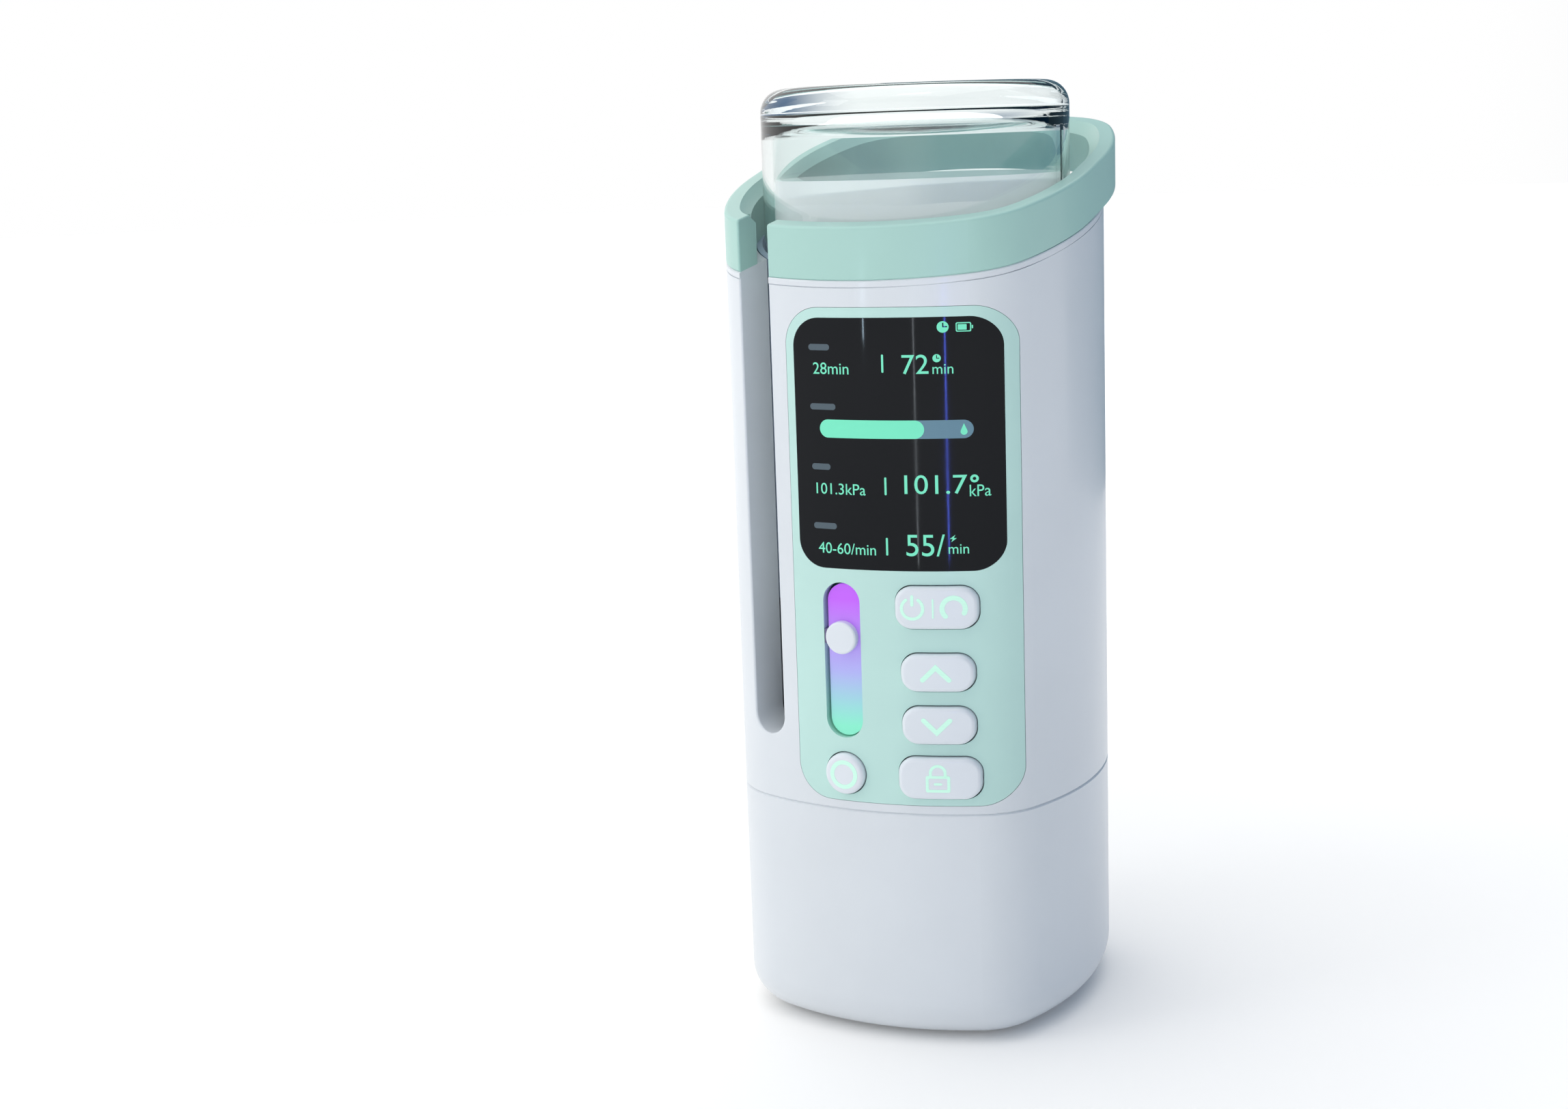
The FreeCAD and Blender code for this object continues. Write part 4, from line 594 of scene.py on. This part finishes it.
class PUMP_OT_slider(bpy.types.Operator):
    """Light the slider's track with its blend of colours"""
    bl_idname = "pump.slider"
    bl_label = "Slider"

    def execute(self, context):
        look = context.scene.pump_slider
        finish, shader, add, link = new_finish("track_light")
        set_shader(shader, Roughness=0.3, Emission_Strength=look.glow)
        low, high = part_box("slider_light_guide")
        part = add("SeparateXYZ")
        link(add("TexCoord").outputs["Object"], part.inputs["Vector"])
        height = spread(add, link, part.outputs["Z"], 0.0, 1.0, low.z, high.z)
        tones = ramp(add, link, height, [(0.06, look.low), (0.42, look.middle), (0.9, look.top)])
        link(tones, shader.inputs["Base Color"])
        link(tones, shader.inputs["Emission Color"])
        grains = add("TexNoise", Scale=2500.0, Detail=1.0)
        bump(add, link, shader, grains.outputs["Fac"], 0.004 * MM)
        dress(finish, "slider_light_guide")

        # the knob's blade, in the recess at its left, is painted dark: painted shade of the recess
        # it sits in
        caps = context.scene.pump_keys.cap
        finish, shader, add, link = new_finish("knob_satin_and_painted_blade_shade")
        set_shader(shader, Roughness=0.34, Coat_Weight=0.2, Coat_Roughness=LACQUER_ROUGHNESS)
        left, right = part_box("slider_knob")
        part = add("SeparateXYZ")
        link(add("TexCoord").outputs["Object"], part.inputs["Vector"])
        across = spread(add, link, part.outputs["X"], 0.0, 1.0, left.x, right.x)
        # left edge of the knob gets the painted shade colour, the rest the key cap colour
        link(ramp(add, link, across, [(0.075, look.painted_groove_shade), (0.095, caps)]),
             shader.inputs["Base Color"])
        grains = add("TexNoise", Scale=3000.0, Detail=2.0)
        bump(add, link, shader, grains.outputs["Fac"], 0.004 * MM)
        dress(finish, "slider_knob")
        dress(moulded("carriage_satin", (0.5, 0.54, 0.6), 0.5, 0.4 * MM), "slider_carriage")
        dress(moulded("strip_film", (0.03, 0.03, 0.035), 0.4, 0.4 * MM), "position_strip")
        return {"FINISHED"}


class PUMP_OT_bottle(bpy.types.Operator):
    """Finish the glass bottle, its liquid, stopper and crimped cap"""
    bl_idname = "pump.bottle"
    bl_label = "Bottle"

    def execute(self, context):
        look = context.scene.pump_bottle
        dress(clear("bottle_glass", look.glass, 1.5, 0.03 * MM), "glass_bottle")
        # the liquid is half clear and given painted light: a slight glow of its own that lightens
        # it
        dress(clear("bottle_liquid_painted_glow", look.liquid, 1.333, 0.004 * MM, 0.5, 0.17), "infusion_liquid")
        dress(moulded("stopper_rubber", (0.17, 0.18, 0.20), 0.7, 0.5 * MM, depth=0.02 * MM),
              "rubber_stopper", "neck_gasket")
        dress(turned("crimped_metal", (0.80, 0.81, 0.83), 0.3, 900.0), "crimp_cap")
        return {"FINISHED"}


class PUMP_OT_works(bpy.types.Operator):
    """Finish the pump, drive, battery, boards, hoses and fittings inside"""
    bl_idname = "pump.works"
    bl_label = "Works inside"

    def execute(self, context):
        dress(turned("machined_steel", (0.60, 0.61, 0.63), 0.28, 1500.0),
              "case_screws", "pump_screws", "roller_pins", "drive_shaft", "peg_clips",
              "key_switches", "charge_socket")
        dress(turned("drawn_can", (0.52, 0.53, 0.55), 0.34, 700.0), "gearbox", "motor_can")
        dress(moulded("plain_moulding", (0.46, 0.50, 0.55), 0.48, 0.5 * MM, depth=0.012 * MM),
              "deck_plate", "roller_one", "roller_two", "roller_three", "battery_cradle")
        dress(moulded("pump_moulding", (0.66, 0.66, 0.63), 0.42, 0.4 * MM, depth=0.012 * MM),
              "pump_housing", "pump_cover", "pump_rotor", "piercing_spike", "outlet_fitting")
        dress(moulded("soft_silicone", (0.72, 0.77, 0.80), 0.38, 0.6 * MM,
                      Subsurface_Weight=0.3, Subsurface_Scale=0.002),
              "pump_tube", "inlet_hose", "outlet_hose")
        dress(moulded("foot_rubber", (0.10, 0.105, 0.115), 0.75, 0.7 * MM, depth=0.05 * MM),
              "foot_pad", "motor_pad")
        dress(moulded("package_black", (0.02, 0.02, 0.022), 0.5, 0.3 * MM, depth=0.01 * MM),
              "board_chips", "buzzer", "air_sensor")
        dress(moulded("cell_wrap", (0.03, 0.11, 0.34), 0.25, 3.0 * MM, depth=0.02 * MM, coat=0.5),
              "battery_cells")
        dress(moulded("display_dark", (0.02, 0.022, 0.026), 0.2, 1.0 * MM, depth=0.002 * MM),
              "display_module")
        dress(printed_board("board_mask", (0.015, 0.13, 0.06), (0.05, 0.26, 0.12)),
              "main_board", "front_board", "charge_board")
        dress(printed_board("flex_film", (0.42, 0.17, 0.04), (0.62, 0.33, 0.08)), "display_flex")
        return {"FINISHED"}


def aim(thing, spot, target):
    """Place something at a spot so that its -Z looks at the target."""
    thing.location = spot
    thing.rotation_euler = (Vector(target) - Vector(spot)).to_track_quat("-Z", "Y").to_euler()


def lamp(name, spot, target, size, power, colour=(1.0, 1.0, 1.0)):
    light = bpy.data.lights.new(name, "AREA")
    light.shape = "RECTANGLE"
    light.size, light.size_y = size
    light.energy = power
    light.color = colour
    thing = bpy.data.objects.new(name, light)
    bpy.context.scene.collection.objects.link(thing)
    aim(thing, spot, target)
    thing.visible_camera = False
    return thing


def mirror_card(name, spot, target, size, colour, glow):
    """A plain card of the studio that shows only in mirrored light."""
    work = bmesh.new()
    bmesh.ops.create_grid(work, x_segments=1, y_segments=1, size=0.5)
    bmesh.ops.scale(work, vec=(*size, 1.0), verts=work.verts)
    sheet = bpy.data.meshes.new(name)
    work.to_mesh(sheet)
    work.free()
    finish, shader, _, _ = new_finish(name)
    set_shader(shader, Base_Color=(0.0, 0.0, 0.0), Specular_IOR_Level=0.0,
               Emission_Color=colour, Emission_Strength=glow)
    sheet.materials.append(finish)
    card = bpy.data.objects.new(name, sheet)
    bpy.context.scene.collection.objects.link(card)
    aim(card, spot, target)
    card.visible_camera = card.visible_diffuse = card.visible_shadow = False
    card.visible_transmission = False


def floor_paper(look):
    """Matt white paper that grows lighter with distance, so no horizon shows."""
    finish, shader, add, link = new_finish("floor_paper")
    set_shader(shader, Emission_Color=look.floor, Specular_IOR_Level=0.3)
    place = add("TexCoord").outputs["Object"]
    fibres = add("TexNoise", Scale=500.0, Detail=2.0)
    link(place, fibres.inputs["Vector"])
    link(ramp(add, link, fibres.outputs["Fac"], [(0.3, shade(look.floor, 0.996)),
                                                 (0.7, look.floor)]),
         shader.inputs["Base Color"])
    link(spread(add, link, fibres.outputs["Fac"], 0.8, 0.9), shader.inputs["Roughness"])
    away = add("VectorMath", operation="LENGTH")
    link(place, away.inputs[0])
    link(spread(add, link, away.outputs["Value"], look.near_glow, look.far_glow,
                FLOOR_NEAR, FLOOR_FAR),
         shader.inputs["Emission Strength"])
    return finish


def room_light(look):
    """A white room that turns dimmer and bluer towards one side."""
    world = bpy.data.worlds.new("studio_air")
    world.use_nodes = True
    tree = world.node_tree
    back = tree.nodes["Background"]
    back.inputs["Strength"].default_value = look.brightness
    place = tree.nodes.new("ShaderNodeTexCoord")
    towards = tree.nodes.new("ShaderNodeVectorMath")
    towards.operation = "DOT_PRODUCT"
    towards.inputs[1].default_value = DIM_TOWARDS
    tree.links.new(place.outputs["Generated"], towards.inputs[0])
    blend = tree.nodes.new("ShaderNodeValToRGB")
    blend.color_ramp.interpolation = "EASE"
    blend.color_ramp.elements[0].position = DIM_START
    blend.color_ramp.elements[0].color = (1.0, 1.0, 1.0, 1.0)
    blend.color_ramp.elements[1].position = DIM_FULL
    blend.color_ramp.elements[1].color = (*look.dim_side, 1.0)
    tree.links.new(towards.outputs["Value"], blend.inputs["Fac"])
    tree.links.new(blend.outputs["Color"], back.inputs["Color"])
    return world


class PUMP_OT_studio(bpy.types.Operator):
    """Set out the floor, the soft lights and the camera"""
    bl_idname = "pump.studio"
    bl_label = "Studio"

    def execute(self, context):
        look = context.scene.pump_studio
        scene = context.scene
        scene.view_settings.view_transform = "Standard"
        scene.world = room_light(look)

        work = bmesh.new()
        bmesh.ops.create_circle(work, cap_ends=True, segments=96,
                                radius=FLOOR_RADIUS)
        ground = bpy.data.meshes.new("studio_floor")
        work.to_mesh(ground)
        work.free()
        ground.materials.append(floor_paper(look))
        floor = bpy.data.objects.new("studio_floor", ground)
        scene.collection.objects.link(floor)

        lamp("top_light", (0.0, 0.0, 2.4), STUDIO_MIDDLE, (3.0, 3.0), 26.0)
        lamp("key_light", (-0.9, -0.8, 0.9), STUDIO_MIDDLE, (0.5, 0.5), 1.5, (1.0, 0.995, 0.98))

        mirror_card("shade_card", SHADE_CARD_SPOT, STUDIO_MIDDLE, SHADE_CARD_SIZE, look.card, 1.0)
        for spot, height, colour in STRIPS:
            mirror_card("strip_light", spot, (0.0, 0.0, spot[2]), (STRIP_WIDTH, height), colour,
                        look.streak)

        turn = Vector((math.sin(look.azimuth) * math.cos(look.elevation),
                       -math.cos(look.azimuth) * math.cos(look.elevation),
                       math.sin(look.elevation)))
        right = Vector((math.cos(look.azimuth), math.sin(look.azimuth), 0.0))
        up = turn.cross(right)
        c, s = math.cos(look.roll), math.sin(look.roll)
        axes = (c * right + s * up, c * up - s * right, turn)
        matrix = Matrix([[axis[i] for axis in axes] for i in range(3)]).to_4x4()
        matrix.translation = Vector(look.target) + turn * look.distance
        camera = bpy.data.cameras.new("studio_camera")
        camera.sensor_width = SENSOR_WIDTH
        camera.lens = look.lens
        camera.clip_start = 0.01
        holder = bpy.data.objects.new("studio_camera", camera)
        scene.collection.objects.link(holder)
        holder.matrix_world = matrix
        scene.camera = holder
        return {"FINISHED"}


class PUMP_PT_panel(bpy.types.Panel):
    """The pump's pieces and their settings"""
    bl_idname = "PUMP_PT_panel"
    bl_label = "Infusion Pump"
    bl_space_type = "VIEW_3D"
    bl_region_type = "UI"
    bl_category = "Infusion Pump"

    def draw(self, context):
        for operator, settings in STEPS:
            box = self.layout.box()
            box.operator(operator.bl_idname)
            if settings:
                owner = getattr(context.scene, settings)
                for key in owner.__annotations__:
                    box.prop(owner, key)


SETTINGS = {"pump_shell": ShellSettings, "pump_screen": ScreenSettings,
            "pump_keys": KeySettings, "pump_slider": SliderSettings,
            "pump_bottle": BottleSettings, "pump_studio": StudioSettings}
STEPS = [(PUMP_OT_shell, "pump_shell"), (PUMP_OT_screen, "pump_screen"),
         (PUMP_OT_keys, "pump_keys"), (PUMP_OT_slider, "pump_slider"),
         (PUMP_OT_bottle, "pump_bottle"), (PUMP_OT_works, None),
         (PUMP_OT_studio, "pump_studio")]


def register():
    for kind in (*SETTINGS.values(), *(step for step, _ in STEPS), PUMP_PT_panel):
        bpy.utils.register_class(kind)
    for name, kind in SETTINGS.items():
        setattr(bpy.types.Scene, name, PointerProperty(type=kind))


def unregister():
    for name in SETTINGS:
        delattr(bpy.types.Scene, name)
    for kind in (PUMP_PT_panel, *(step for step, _ in STEPS), *SETTINGS.values()):
        bpy.utils.unregister_class(kind)


def main():
    register()
    for step, _ in STEPS:
        group, name = step.bl_idname.split(".")
        getattr(getattr(bpy.ops, group), name)()


if __name__ == "__main__":
    main()
